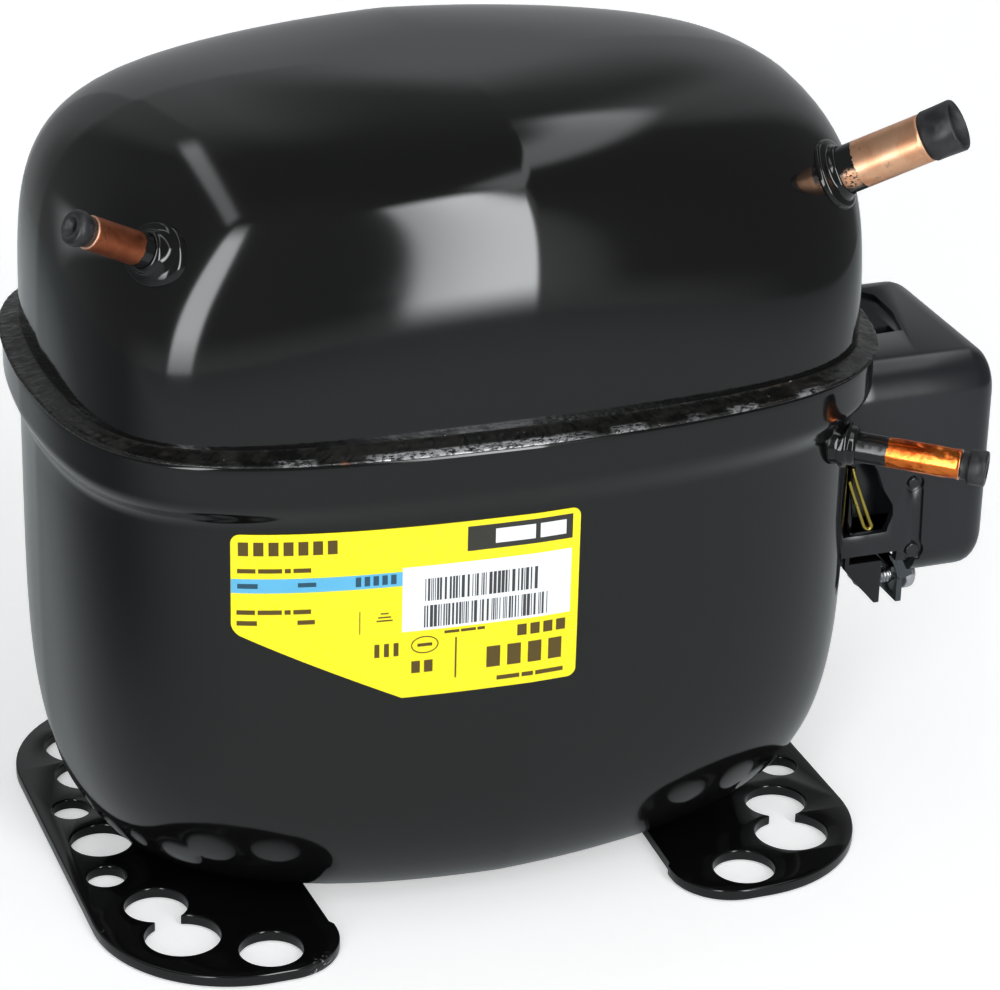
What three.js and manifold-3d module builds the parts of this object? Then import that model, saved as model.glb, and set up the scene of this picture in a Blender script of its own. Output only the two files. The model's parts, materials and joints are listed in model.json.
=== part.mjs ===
// Hermetic reciprocating refrigeration compressor, in millimetres, +Z up.
// The design coordinates have their origin between the mounting holes, on the plane
// under the foot plates: +X runs to the terminal box and -Y is the side with the label.
// The exported group is shifted along X and Y so that its bounding box is centred on the origin.

import * as THREE from 'three';
import { mergeVertices } from 'three/addons/utils/BufferGeometryUtils.js';
import Module from 'manifold-3d';

const wasm = await Module();
wasm.setup();

// ---------------------------------------------------------------- driving dimensions

const GAP = 0.35; // clearance between touching pieces
const AROUND = 32; // points round a shell's plan
const PORT_SIDES = 18; // sides of the tubes and their collars
const BOWL_STEPS = 6; // rings between a shell's straight wall and its pole
const CAP_STEPS = 6;
const POLE = { length: 6, width: 4 }; // ellipse that the rings of a shell shrink to

// plan outlines of the shell: a rounded box whose four corners are flattened by facets
const RIM_PLAN = { halfLength: 107.6, halfWidth: 75.6, facet: 105.9, facetAngle: 57.8, power: 6.64 };
const BEAD_PLAN = { halfLength: 108.4, halfWidth: 76.4, facet: 106.7, facetAngle: 57.8, power: 6.64 };
const BODY_PLAN = { halfLength: 104.2, halfWidth: 73.4, facet: 99.4, facetAngle: 58.7, power: 6.5 };
const CAP_PLAN = { halfLength: 102.7, halfWidth: 69.1, facet: 101.5, facetAngle: 59.7, power: 6.65 };

const SEAM_Z = 137.1; // top edge of the lower shell
const TOP_Z = 209.2;
const BOTTOM_Z = 0.7; // underside of the lower shell
const COLLAR_Z = 127; // where the wide collar under the seam ends
const NECK_Z = 120; // where the wall has drawn in to the body
const STRAIGHT_Z = 102.3; // the body starts to round in below this
const SKIRT_Z = 125; // lower edge of the upper shell, inside the collar
const WALL = 3.2;

const CAP_POWERS = { halfLength: 4.5, halfWidth: 4.5, facet: 3.06 };
const BOWL_POWERS = { halfLength: 5.1, halfWidth: 4.0, facet: 3.5 };

const PLATE = { thickness: 4, outer: 102.3, inner: 45, end: 74.5, outerRadius: 36, innerRadius: 15.5 };
const FOOT_HOLES = [
  { x: 63.5, y: 63.5, radius: 8 },
  { x: 82.5, y: 50.8, radius: 9.5 },
  { x: 85, y: 35, radius: 8 },
  { x: 93.4, y: 17.85, radius: 5 },
  { x: 90, y: 0, radius: 8 },
];

// where each tube leaves the shell, its heading in the plan and its slope, in degrees
const PORTS = {
  suction: {
    base: [86.2, -45.3, 184.7], heading: -36, slope: 29.3,
    outer: 6, bore: 5.1, length: 24, plugRadius: 6.5, plugLength: 8.5, stub: 3.6,
  },
  process: {
    base: [-85.9, -46.5, 183.7], heading: -162, slope: 28,
    outer: 4, bore: 3, length: 19.4, plugRadius: 4.2, plugLength: 5.2, stub: 3.6,
  },
  discharge: {
    base: [87.1, -53.4, 116.1], heading: -35.3, slope: -2.8,
    outer: 3.9, bore: 3.1, length: 31, plugRadius: 4.5, plugLength: 6.5, stub: 5,
  },
};

// terminal box on the +X end
const BOX = {
  start: 98, end: 146, near: -28, far: 35, bottom: 60, top: 122, wall: 2.2, corner: 9, rounding: 7,
};
const NOTCH = { end: 129, near: -5, far: 23, depth: 3.8, floor: 1.4 }; // pocket in the cover's top
const TERMINAL = { x: 101, y: 6, z: 90, radius: 15, wall: 2, pinStart: 92, pinEnd: 117, pinRadius: 1.15 };
const LEAD_PLUG = { start: 83, end: 97.5, halfWidth: 12, bottom: 82, top: 102 };
const BRACKET = {
  face: 106, sheet: 1.5, lip: 117, near: -24, far: 28.5, shelfFar: -7, shelfTop: 65.5, low: 52.8, top: 116,
};
const BRACKET_WINDOW = { near: -12, far: 25, bottom: 71, top: 109 };
const CLAMP = { y: -16.5, z: 57, shank: 2.2, head: 4.4, headLength: 3.4, start: 113, halfWidth: 6 };
const EARTH = { y: -17, z: 112, shank: 1.8, head: 3.6, headLength: 2.6 };
const RELAY = { end: 124, near: -20, far: 8.6, bottom: 77, top: 104 };
const PROTECTOR = { y: 20, z: 86.5, radius: 11, depth: 10.5, button: 4 };
const DEVICE_START = 108.5; // face of the start relay and overload protector towards the shell

// pump and motor
const STROKE = 22;
const BORE = 32;
const ROD_LENGTH = 38;
const CRANK_RADIUS = STROKE / 2;
const CYLINDER_Z = 150;
const PISTON_X = Math.sqrt(ROD_LENGTH ** 2 - CRANK_RADIUS ** 2); // wrist pin at mid stroke
const PIN_TO_CROWN = 14;
const CYLINDER_START = 22;
const CYLINDER_END = CRANK_RADIUS + ROD_LENGTH + PIN_TO_CROWN + 0.5;
const SHAFT_RADIUS = 10;
const STACK = { bottom: 44, top: 104, halfLength: 59, halfWidth: 56, bore: 30.7 };
const SPRING = { x: 46, y: 41, radius: 6.2, wire: 1.1, bottom: 16.4, turns: 4 };

// ---------------------------------------------------------------- colours

const finish = (color, roughness, metalness) =>
  new THREE.MeshStandardMaterial({ color, roughness, metalness });
const blackPaint = () => finish(0x0c0c0d, 0.12, 0.0);
const blackPlastic = () => finish(0x101112, 0.25, 0.0);
const copper = () => finish(0xc9713d, 0.28, 1.0);
const rubber = () => finish(0x161616, 0.6, 0.0);
const steel = () => finish(0x9a9ca0, 0.35, 1.0);
const castIron = () => finish(0x5b5c5e, 0.6, 0.8);
const winding = () => finish(0x9c4f22, 0.4, 0.6);
const whitePlastic = () => finish(0xd8d5cb, 0.5, 0.0);
const yellowZinc = () => finish(0xb8a04a, 0.35, 1.0);
const labelFilm = () => finish(0xf4dd1f, 0.35, 0.0);
const gasketSheet = () => finish(0x3c4c3e, 0.8, 0.0);

// ---------------------------------------------------------------- solids

function solidOf(geometry) {
  const plain = geometry.clone();
  for (const name of Object.keys(plain.attributes)) {
    if (name !== 'position') plain.deleteAttribute(name);
  }
  const merged = mergeVertices(plain, 1e-4);
  return new wasm.Manifold(
    new wasm.Mesh({
      numProp: 3,
      vertProperties: new Float32Array(merged.attributes.position.array),
      triVerts: new Uint32Array(merged.index.array),
    }),
  );
}

function geometryOf(solid) {
  const mesh = solid.getMesh();
  const geometry = new THREE.BufferGeometry();
  geometry.setAttribute('position', new THREE.BufferAttribute(new Float32Array(mesh.vertProperties), 3));
  geometry.setIndex(new THREE.BufferAttribute(new Uint32Array(mesh.triVerts), 1));
  geometry.computeVertexNormals();
  return geometry;
}

const join = (...geometries) => geometryOf(geometries.map(solidOf).reduce((all, next) => all.add(next)));
const cut = (body, ...tools) =>
  geometryOf(tools.map(solidOf).reduce((left, tool) => left.subtract(tool), solidOf(body)));

// closed skin over a stack of rings, each an array of points; the first and last ring are
// closed by a fan to their own centre
function loft(rings) {
  const count = rings[0].length;
  const points = rings.flat();
  const centreOf = (ring) => [0, 1, 2].map((axis) => ring.reduce((sum, p) => sum + p[axis], 0) / count);
  const first = points.length;
  points.push(centreOf(rings[0]), centreOf(rings[rings.length - 1]));
  const index = [];
  for (let ring = 0; ring + 1 < rings.length; ring += 1) {
    for (let i = 0; i < count; i += 1) {
      const a = ring * count + i;
      const b = ring * count + ((i + 1) % count);
      index.push(a, b, b + count, a, b + count, a + count);
    }
  }
  const lastRing = (rings.length - 1) * count;
  for (let i = 0; i < count; i += 1) {
    const next = (i + 1) % count;
    index.push(first, next, i, first + 1, lastRing + i, lastRing + next);
  }
  return outward(points, index);
}

// closed skin over rings that lead back to the first one, such as a bead round a seam
function loopLoft(rings) {
  const count = rings[0].length;
  const index = [];
  rings.forEach((_, ring) => {
    const here = ring * count;
    const there = ((ring + 1) % rings.length) * count;
    for (let i = 0; i < count; i += 1) {
      const next = (i + 1) % count;
      index.push(here + i, here + next, there + next, here + i, there + next, there + i);
    }
  });
  return outward(rings.flat(), index);
}

// geometry from points and triangles, turned so that its faces point out
function outward(points, index) {
  const corner = (i) => new THREE.Vector3(...points[i]);
  let volume = 0;
  for (let i = 0; i < index.length; i += 3) {
    volume += corner(index[i]).dot(corner(index[i + 1]).cross(corner(index[i + 2])));
  }
  if (volume < 0) index.reverse();
  const geometry = new THREE.BufferGeometry();
  geometry.setAttribute('position', new THREE.Float32BufferAttribute(points.flat(), 3));
  geometry.setIndex(index);
  return geometry;
}

const box = (x0, x1, y0, y1, z0, z1) =>
  new THREE.BoxGeometry(x1 - x0, y1 - y0, z1 - z0).translate((x0 + x1) / 2, (y0 + y1) / 2, (z0 + z1) / 2);

// cylinders along each axis, from one end to the other
const rod = (length, radius, sides) => new THREE.CylinderGeometry(radius, radius, length, sides);
const rodZ = (x, y, z0, z1, radius, sides = 24) =>
  rod(z1 - z0, radius, sides).rotateX(Math.PI / 2).translate(x, y, (z0 + z1) / 2);
const rodX = (x0, x1, y, z, radius, sides = 24) =>
  rod(x1 - x0, radius, sides).rotateZ(Math.PI / 2).translate((x0 + x1) / 2, y, z);
const rodY = (x, y0, y1, z, radius, sides = 24) =>
  rod(y1 - y0, radius, sides).translate(x, (y0 + y1) / 2, z);

// solid of revolution about Z from [radius, z] points
function turned(profile, sides = 24) {
  const points = profile.map(([radius, z]) => new THREE.Vector2(radius, z));
  const geometry = new THREE.LatheGeometry(points, sides).rotateX(Math.PI / 2);
  return geometryOf(rightWay(solidOf(geometry), geometry));
}

// a lathe turned inside out is closed but points inward, so its triangles are reversed
function rightWay(solid, geometry) {
  if (solid.volume() > 0) return solid;
  const flipped = mergeVertices(withPositionOnly(geometry), 1e-4);
  flipped.index.array.reverse();
  return solidOf(flipped);
}

function withPositionOnly(geometry) {
  const plain = geometry.clone();
  plain.deleteAttribute('normal');
  plain.deleteAttribute('uv');
  return plain;
}

// ring about Z with square edges
const ringZ = (inner, outer, z0, z1, sides = 24) =>
  turned([[inner, z0], [outer, z0], [outer, z1], [inner, z1], [inner, z0]], sides);

// round bar that follows a curve
function alongCurve(curve, radius, steps, sides) {
  const section = new THREE.Shape(circlePoints(radius, sides));
  return new THREE.ExtrudeGeometry(section, { steps, extrudePath: curve, bevelEnabled: false });
}

// round bar bent through a list of points
function bentBar(points, radius, steps, sides) {
  const corners = points.map((p) => new THREE.Vector3(...p));
  return alongCurve(new THREE.CatmullRomCurve3(corners, false, 'centripetal'), radius, steps, sides);
}

const circlePoints = (radius, sides) =>
  Array.from({ length: sides }, (_, i) => {
    const angle = (i / sides) * 2 * Math.PI;
    return new THREE.Vector2(radius * Math.cos(angle), radius * Math.sin(angle));
  });

// ---------------------------------------------------------------- shell outlines

const radians = (degrees) => (degrees * Math.PI) / 180;

// distance from the centre line to the outline at a plan angle
function planReach(plan, angle) {
  const c = Math.abs(Math.cos(angle));
  const s = Math.abs(Math.sin(angle));
  const facetAngle = radians(plan.facetAngle);
  const toFacet = c * Math.cos(facetAngle) + s * Math.sin(facetAngle);
  const shares = [c / plan.halfLength, s / plan.halfWidth, toFacet / plan.facet];
  return shares.reduce((sum, share) => sum + share ** plan.power, 0) ** (-1 / plan.power);
}

const grown = (plan, by) => ({
  ...plan, halfLength: plan.halfLength + by, halfWidth: plan.halfWidth + by, facet: plan.facet + by,
});

function blended(from, to, share) {
  const mix = (key) => from[key] + (to[key] - from[key]) * share;
  return {
    halfLength: mix('halfLength'), halfWidth: mix('halfWidth'), facet: mix('facet'),
    facetAngle: mix('facetAngle'), power: mix('power'),
  };
}

// outline at a height where the wall rounds in towards its pole, u running from 0 to 1
function roundedIn(plan, powers, u) {
  const shrink = (power) => (1 - u ** power) ** (1 / power);
  return {
    ...plan,
    halfLength: plan.halfLength * shrink(powers.halfLength),
    halfWidth: plan.halfWidth * shrink(powers.halfWidth),
    facet: plan.facet * shrink(powers.facet),
  };
}

const planRing = (plan, z) =>
  Array.from({ length: AROUND }, (_, i) => {
    const angle = (i / AROUND) * 2 * Math.PI;
    const reach = planReach(plan, angle);
    return [reach * Math.cos(angle), reach * Math.sin(angle), z];
  });

// heights, as shares of the way to the pole, that follow the curve evenly
const roundingSteps = (count, power) =>
  Array.from({ length: count }, (_, i) => Math.sin(((i + 1) / (count + 1)) * (Math.PI / 2)) ** (2 / power));

// rings of the bowl from its straight wall down to its pole
function bowlRings(offset, count) {
  const plan = grown(BODY_PLAN, offset);
  const depth = STRAIGHT_Z - BOTTOM_Z + offset;
  const rings = [planRing(plan, STRAIGHT_Z)];
  for (const u of roundingSteps(count, 4)) {
    rings.push(planRing(roundedIn(plan, BOWL_POWERS, u), STRAIGHT_Z - u * depth));
  }
  return rings;
}

// rings of the cap from the seam up to its pole
function capRings(offset, count) {
  const plan = grown(CAP_PLAN, offset);
  const height = TOP_Z - SEAM_Z + offset;
  const rings = [planRing(plan, SEAM_Z)];
  for (const u of roundingSteps(count, 4)) {
    rings.push(planRing(roundedIn(plan, CAP_POWERS, u), SEAM_Z + u * height));
  }
  return rings;
}

// last ring of a stack, a small ellipse whose fan closes the surface
const poleRing = (z) =>
  Array.from({ length: AROUND }, (_, i) => {
    const angle = (i / AROUND) * 2 * Math.PI;
    return [POLE.length * Math.cos(angle), POLE.width * Math.sin(angle), z];
  });

// collar and neck from the seam down to the straight body
function collarRings(offset) {
  const rim = grown(RIM_PLAN, offset);
  const body = grown(BODY_PLAN, offset);
  return [
    planRing(grown(RIM_PLAN, offset - 0.8), SEAM_Z + Math.max(offset, 0)),
    planRing(rim, SEAM_Z - 1),
    planRing(rim, COLLAR_Z),
    planRing(blended(rim, body, 0.25), COLLAR_Z - 2.4),
    planRing(blended(rim, body, 0.8), NECK_Z + 1.8),
    planRing(body, NECK_Z - 1.5),
  ];
}

// full volume of a shell half, grown by an offset, for cutting pieces that fit against it
const lowerVolume = (offset) =>
  loft([...collarRings(offset), ...bowlRings(offset, BOWL_STEPS), poleRing(BOTTOM_Z - offset)]);
const upperVolume = (offset) => loft([...capRings(offset, CAP_STEPS), poleRing(TOP_Z + offset)]);

// ---------------------------------------------------------------- the assembly

const compressor = new THREE.Group();
compressor.name = 'compressor';

function add(name, geometry, material, parent = compressor) {
  const mesh = new THREE.Mesh(geometry, material);
  mesh.name = name;
  parent.add(mesh);
  return mesh;
}

// ---------------------------------------------------------------- ports

const portHeading = (port) => {
  const heading = radians(port.heading);
  const slope = radians(port.slope);
  return new THREE.Vector3(
    Math.cos(slope) * Math.cos(heading), Math.cos(slope) * Math.sin(heading), Math.sin(slope),
  );
};

// puts geometry made along +Z from the origin onto a port
function ontoPort(geometry, port) {
  const turn = new THREE.Quaternion().setFromUnitVectors(new THREE.Vector3(0, 0, 1), portHeading(port));
  return geometry.applyQuaternion(turn).translate(...port.base);
}

// weld ring at the shell with a short stub, bored for the copper tube
function portCollar(port, volume) {
  const inner = port.outer + GAP;
  const stub = port.outer + 1.2;
  const foot = port.outer + 3.5;
  const root = -9; // below the shell's surface, where the volume cut away takes over
  const profile = [
    [inner, root], [foot, root], [foot, 0.6], [foot - 0.8, 1.2], [stub, 2], [stub, port.stub],
    [inner, port.stub], [inner, root],
  ];
  return cut(ontoPort(turned(profile, PORT_SIDES), port), volume);
}

function copperTube(port) {
  return ontoPort(ringZ(port.bore, port.outer, -6, port.length, PORT_SIDES), port);
}

// rubber transit plug: a stem inside the tube and a head with a dimple on its end
function transitPlug(port) {
  const head = port.plugRadius;
  const start = port.length + GAP;
  const end = port.length + port.plugLength;
  const stem = port.bore - GAP;
  const foot = start - 8;
  const dimple = end - 3;
  const profile = [
    [0, foot], [stem, foot], [stem, start], [port.outer, start], [head, start + 2],
    [head, end - 0.8], [head - 0.6, end], [head * 0.45, end], [head * 0.35, dimple], [0, dimple],
  ];
  return ontoPort(turned(profile, PORT_SIDES), port);
}

const lowerCut = lowerVolume(2 * GAP);
const upperCut = upperVolume(2 * GAP);
for (const [name, port] of Object.entries(PORTS)) {
  add(`${name}_collar`, portCollar(port, name === 'discharge' ? lowerCut : upperCut), blackPaint());
  add(`${name}_tube`, copperTube(port), copper());
  add(`${name}_plug`, transitPlug(port), rubber());
}

const portHole = (port) => ontoPort(rodZ(0, 0, -16, 14, port.outer + GAP, PORT_SIDES), port);

// ---------------------------------------------------------------- shells

function lowerShell() {
  const inside = [
    planRing(grown(CAP_PLAN, GAP), SEAM_Z),
    planRing(grown(CAP_PLAN, GAP), SKIRT_Z - GAP),
    planRing(grown(BODY_PLAN, -WALL), SKIRT_Z - 6),
  ];
  const bowl = [...bowlRings(-WALL, 4), poleRing(BOTTOM_Z + WALL)];
  const outside = [...collarRings(0), ...bowlRings(0, BOWL_STEPS), poleRing(BOTTOM_Z)];
  const shell = loft([...outside.reverse(), ...inside, ...bowl]);
  const { x, y, z, radius } = TERMINAL;
  const terminalHole = rodX(x - 11, x + 11, y, z, radius + GAP, 28);
  return cut(shell, portHole(PORTS.discharge), terminalHole);
}

function upperShell() {
  const outside = [planRing(CAP_PLAN, SKIRT_Z), ...capRings(0, CAP_STEPS), poleRing(TOP_Z)];
  const inside = [
    planRing(grown(CAP_PLAN, -WALL), SKIRT_Z),
    ...capRings(-WALL, 4),
    poleRing(TOP_Z - WALL),
  ];
  const shell = loft([...outside.reverse(), ...inside]);
  return cut(shell, portHole(PORTS.suction), portHole(PORTS.process));
}

// weld bead in the corner between the collar's top edge and the upper shell
function weldBead() {
  const inner = grown(CAP_PLAN, GAP);
  const section = [[0, 0], [0.92, 0], [1, 0.5], [0.82, 1.2], [0.42, 1.7], [0.04, 2.1]];
  return loopLoft(section.map(([share, rise]) =>
    planRing(blended(inner, BEAD_PLAN, share), SEAM_Z + GAP + rise),
  ));
}

add('lower_shell', lowerShell(), blackPaint());
add('upper_shell', upperShell(), blackPaint());
add('weld_seam', weldBead(), finish(0x151414, 0.4, 0.6));

// ---------------------------------------------------------------- foot plates

// side is +1 for the plate at +X and -1 for the one at -X
function footPlate(side) {
  const { outer, inner, end, outerRadius, innerRadius, thickness } = PLATE;
  const outline = new THREE.Shape();
  outline.moveTo(inner, -(end - innerRadius));
  outline.absarc(inner + innerRadius, -(end - innerRadius), innerRadius, Math.PI, 1.5 * Math.PI, false);
  outline.absarc(outer - outerRadius, -(end - outerRadius), outerRadius, 1.5 * Math.PI, 2 * Math.PI, false);
  outline.absarc(outer - outerRadius, end - outerRadius, outerRadius, 0, 0.5 * Math.PI, false);
  outline.absarc(inner + innerRadius, end - innerRadius, innerRadius, 0.5 * Math.PI, Math.PI, false);
  const extent = { depth: thickness, bevelEnabled: false, curveSegments: 6 };
  const plate = new THREE.ExtrudeGeometry(outline, extent);
  const holes = FOOT_HOLES.flatMap(({ x, y, radius }) => {
    const rows = y === 0 ? [0] : [-y, y];
    return rows.map((row) => rodZ(x, row, -1, thickness + 1, radius, 16));
  });
  const seatShare = (STRAIGHT_Z - thickness) / (STRAIGHT_Z - BOTTOM_Z);
  const seat = roundedIn(grown(BODY_PLAN, 0.6), BOWL_POWERS, seatShare);
  const bowlSeat = loft([planRing(seat, -1), planRing(seat, thickness + 1)]);
  const solid = cut(plate, ...holes, bowlSeat);
  return side > 0 ? solid : solid.rotateZ(Math.PI);
}

add('foot_plate_right', footPlate(1), blackPaint());
add('foot_plate_left', footPlate(-1), blackPaint());

// ---------------------------------------------------------------- rating label

// thin film on the front of the lower shell, with its lower left corner cut off
function ratingLabel() {
  const label = { left: -72.5, right: 11, top: 118, bottom: 72.6, cornerLeft: 92, cornerRight: -34 };
  const columns = 14;
  const film = { under: GAP, over: 0.7 };
  const skin = (x, z, lift) => {
    const u = Math.max(0, (STRAIGHT_Z - z) / (STRAIGHT_Z - BOTTOM_Z));
    const plan = roundedIn(grown(BODY_PLAN, lift), BOWL_POWERS, u);
    let angle = Math.atan2(-70, x);
    for (let turn = 0; turn < 12; turn += 1) {
      angle += (x - planReach(plan, angle) * Math.cos(angle)) / 80;
    }
    const reach = planReach(plan, angle);
    return [reach * Math.cos(angle), reach * Math.sin(angle), z];
  };
  const section = (x) => {
    const share = Math.max(0, (label.cornerRight - x) / (label.cornerRight - label.left));
    const low = label.bottom + share * (label.cornerLeft - label.bottom);
    const heights = [low, low + (label.top - low) * 0.5, label.top];
    const outer = heights.map((z) => skin(x, z, film.over));
    const inner = heights.map((z) => skin(x, z, film.under)).reverse();
    return [...outer, ...inner];
  };
  const rings = Array.from({ length: columns + 1 }, (_, i) =>
    section(label.left + ((label.right - label.left) * i) / columns),
  );
  return loft(rings);
}

add('rating_label', ratingLabel(), labelFilm());

// ---------------------------------------------------------------- terminal group

const PINS = [
  { y: TERMINAL.y, z: TERMINAL.z + 7 },
  { y: TERMINAL.y - 6.1, z: TERMINAL.z - 3.5 },
  { y: TERMINAL.y + 6.1, z: TERMINAL.z - 3.5 },
];
const pinHoles = (x0, x1, pins = PINS) =>
  pins.map(({ y, z }) => rodX(x0, x1, y, z, TERMINAL.pinRadius + GAP, 10));

// pressed steel cup that carries the glass-sealed pins through the shell wall
function terminalCup() {
  const { x, y, z, radius, wall } = TERMINAL;
  const cup = turned([
    [0, -3], [radius - 3, -3], [radius, -1], [radius, 5], [radius - wall, 5], [radius - wall, 0.5], [0, 0.5],
  ], 20);
  cup.rotateY(Math.PI / 2).translate(x, y, z);
  return cut(cup, ...pinHoles(x - 11, x + 11));
}

add('terminal_cup', terminalCup(), steel());
PINS.forEach(({ y, z }, i) => {
  const pin = rodX(TERMINAL.pinStart, TERMINAL.pinEnd, y, z, TERMINAL.pinRadius, 10);
  add(`terminal_pin_${i + 1}`, pin, steel());
});

// connector on the inner ends of the pins
function leadPlug() {
  const { start, end, halfWidth, bottom, top } = LEAD_PLUG;
  const body = box(start, end, TERMINAL.y - halfWidth, TERMINAL.y + halfWidth, bottom, top);
  return cut(body, ...pinHoles(TERMINAL.pinStart - 1, end + 1));
}

add('lead_plug', leadPlug(), whitePlastic());

// sheet steel frame behind the cover, with a shelf, a folded lip and a gusset under it
function terminalBracket() {
  const { face, sheet, lip, near, far, shelfFar, shelfTop, low, top } = BRACKET;
  const opening = BRACKET_WINDOW;
  const frame = box(face, face + sheet, near, far, shelfTop - sheet, top);
  const room = box(face - 1, face + sheet + 1, opening.near, opening.far, opening.bottom, opening.top);
  const shelf = box(face, lip, near, shelfFar, shelfTop - sheet, shelfTop);
  const fold = box(lip - sheet, lip, near, shelfFar, low, shelfTop);
  const gussetOutline = new THREE.Shape([
    new THREE.Vector2(face, shelfTop), new THREE.Vector2(face, shelfTop - sheet),
    new THREE.Vector2(lip - sheet, low), new THREE.Vector2(lip, low), new THREE.Vector2(lip, shelfTop),
  ]);
  const gusset = new THREE.ExtrudeGeometry(gussetOutline, { depth: sheet, bevelEnabled: false })
    .rotateX(Math.PI / 2).translate(0, near + sheet, 0);
  return cut(
    join(frame, shelf, fold, gusset), room,
    rodX(lip - 4, lip + 4, CLAMP.y, CLAMP.z, CLAMP.shank + GAP, 16),
    rodX(face - 4, face + 4, EARTH.y, EARTH.z, EARTH.shank + GAP + 0.05, 14),
  );
}

// screw along X, its head seated at x1, with a slot across the head
function panHeadScrew(x0, x1, { y, z, shank, head, headLength }) {
  const end = x1 + headLength;
  const slotHalf = 0.5;
  return cut(
    join(
      rodX(x0, x1 + 0.1, y, z, shank, 14), rodX(x1, x1 + headLength * 0.6, y, z, head, 20),
      rodX(x1 + headLength * 0.5, end, y, z, head * 0.82, 20),
    ),
    box(end - 1.2, end + 1, y - head * 0.62, y + head * 0.62, z - slotHalf, z + slotHalf),
  );
}

// angled plate under the screw's head that holds the supply cord
function cordClamp() {
  const { y, z, halfWidth, shank } = CLAMP;
  const plate = { start: 122.6, end: 124.2, bottom: 51.5, top: 62 };
  const lip = { start: 120.6, depth: 1.4 };
  return cut(
    join(
      box(plate.start, plate.end, y - halfWidth, y + halfWidth, plate.bottom, plate.top),
      box(lip.start, plate.start + 0.4, y - halfWidth, y + halfWidth, plate.top - lip.depth, plate.top),
    ),
    rodX(plate.start - 4, plate.end + 4, y, z, shank + GAP, 16),
  );
}

const CLAMP_SEAT = 126.2; // where the head of the clamp screw starts
add('terminal_bracket', terminalBracket(), blackPaint());
add('clamp_screw', panHeadScrew(CLAMP.start, CLAMP_SEAT, CLAMP), steel());
add('cord_clamp', cordClamp(), steel());
add('earth_screw', panHeadScrew(BRACKET.face - 2.5, BRACKET.face + BRACKET.sheet + 0.4, EARTH), steel());

// start device on two pins
function startRelay() {
  const { end, near, far, bottom, top } = RELAY;
  const body = box(DEVICE_START, end, near, far, bottom, top);
  return cut(body, ...pinHoles(DEVICE_START - 1, TERMINAL.pinEnd + 1, PINS.slice(0, 2)));
}

// overload protector on the third pin
function overloadProtector() {
  const { y, z, radius, depth, button } = PROTECTOR;
  const body = turned([
    [0, 0], [radius, 0], [radius, depth - 1], [radius - 1, depth], [button, depth],
    [button, depth + 1.5], [0, depth + 1.5],
  ], 24);
  body.rotateY(Math.PI / 2).translate(DEVICE_START, y, z);
  return cut(body, ...pinHoles(DEVICE_START - 1, TERMINAL.pinEnd + 1, PINS.slice(2)));
}

add('start_relay', startRelay(), blackPlastic());
add('overload_protector', overloadProtector(), blackPlastic());

// rounded rectangle in the YZ plane at a given x, drawn in by an inset
function boxRing(x, inset) {
  const { near, far, bottom, top, corner } = BOX;
  const radius = Math.max(corner - inset * 0.4, 2);
  const centres = [
    [far - inset - radius, top - inset - radius, 0], [near + inset + radius, top - inset - radius, 1],
    [near + inset + radius, bottom + inset + radius, 2], [far - inset - radius, bottom + inset + radius, 3],
  ];
  const steps = 4;
  return centres.flatMap(([y, z, quarter]) =>
    Array.from({ length: steps + 1 }, (_, i) => {
      const angle = ((quarter + i / steps) * Math.PI) / 2;
      return [x, y + radius * Math.cos(angle), z + radius * Math.sin(angle)];
    }),
  );
}

// room round the seam that the cover stays clear of
const weldKeepOut = () => loft([
  planRing(grown(BEAD_PLAN, 0.6), COLLAR_Z - 8), planRing(grown(BEAD_PLAN, 0.6), SEAM_Z + 8),
]);

// moulded cover open towards the shell, with a pocket in its top, slots for the cord and
// the clip, and its open edge cut to the shell's shape
function terminalCover() {
  const { start, end, near, bottom, top, wall, rounding } = BOX;
  const outside = loft([
    boxRing(start, 0), boxRing(end - rounding, 0), boxRing(end - rounding * 0.4, rounding * 0.17),
    boxRing(end - rounding * 0.1, rounding * 0.5), boxRing(end, rounding),
  ]);
  const inside = loft([
    boxRing(start - 1, wall), boxRing(end - wall - rounding * 0.6, wall + rounding * 0.1),
    boxRing(end - wall, rounding),
  ]);
  const notchFloor = top - NOTCH.depth;
  const pocketWalls = box(
    start, NOTCH.end + wall, NOTCH.near - wall, NOTCH.far + wall, notchFloor - NOTCH.floor, top,
  );
  const pocket = box(start - 1, NOTCH.end, NOTCH.near, NOTCH.far, notchFloor, top + 1);
  const cordSlot = box(start - 1, 131.5, near - 2, -7, bottom - 3, 66.5);
  const clipSlot = box(start - 1, 117, near - 2, near + 6, 50, 96.5);
  return cut(
    join(cut(outside, inside), pocketWalls), pocket, cordSlot, clipSlot,
    lowerVolume(0.9), upperVolume(0.9), weldKeepOut(),
  );
}

add('terminal_cover', terminalCover(), blackPlastic());

// spring wire clip in the side slot, a long narrow hairpin leaning away from the shell
const CLIP = { wire: 0.6, y: -26.8, top: [105.2, -26.4, 94.8] };

function coverClip() {
  const outward = [[106.3, 91], [108.5, 85.2], [110.6, 79.8], [111.5, 77.7]];
  const back = [[110.9, 76.7], [109.6, 77.4], [108.6, 79.6], [106.7, 84.6], [104.9, 89.4], [104.2, 91.4]];
  const level = ([x, z]) => [x, CLIP.y, z];
  return bentBar([CLIP.top, ...outward.map(level), ...back.map(level)], CLIP.wire, 24, 6);
}

add('cover_clip', coverClip(), yellowZinc());

// ---------------------------------------------------------------- motor

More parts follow.
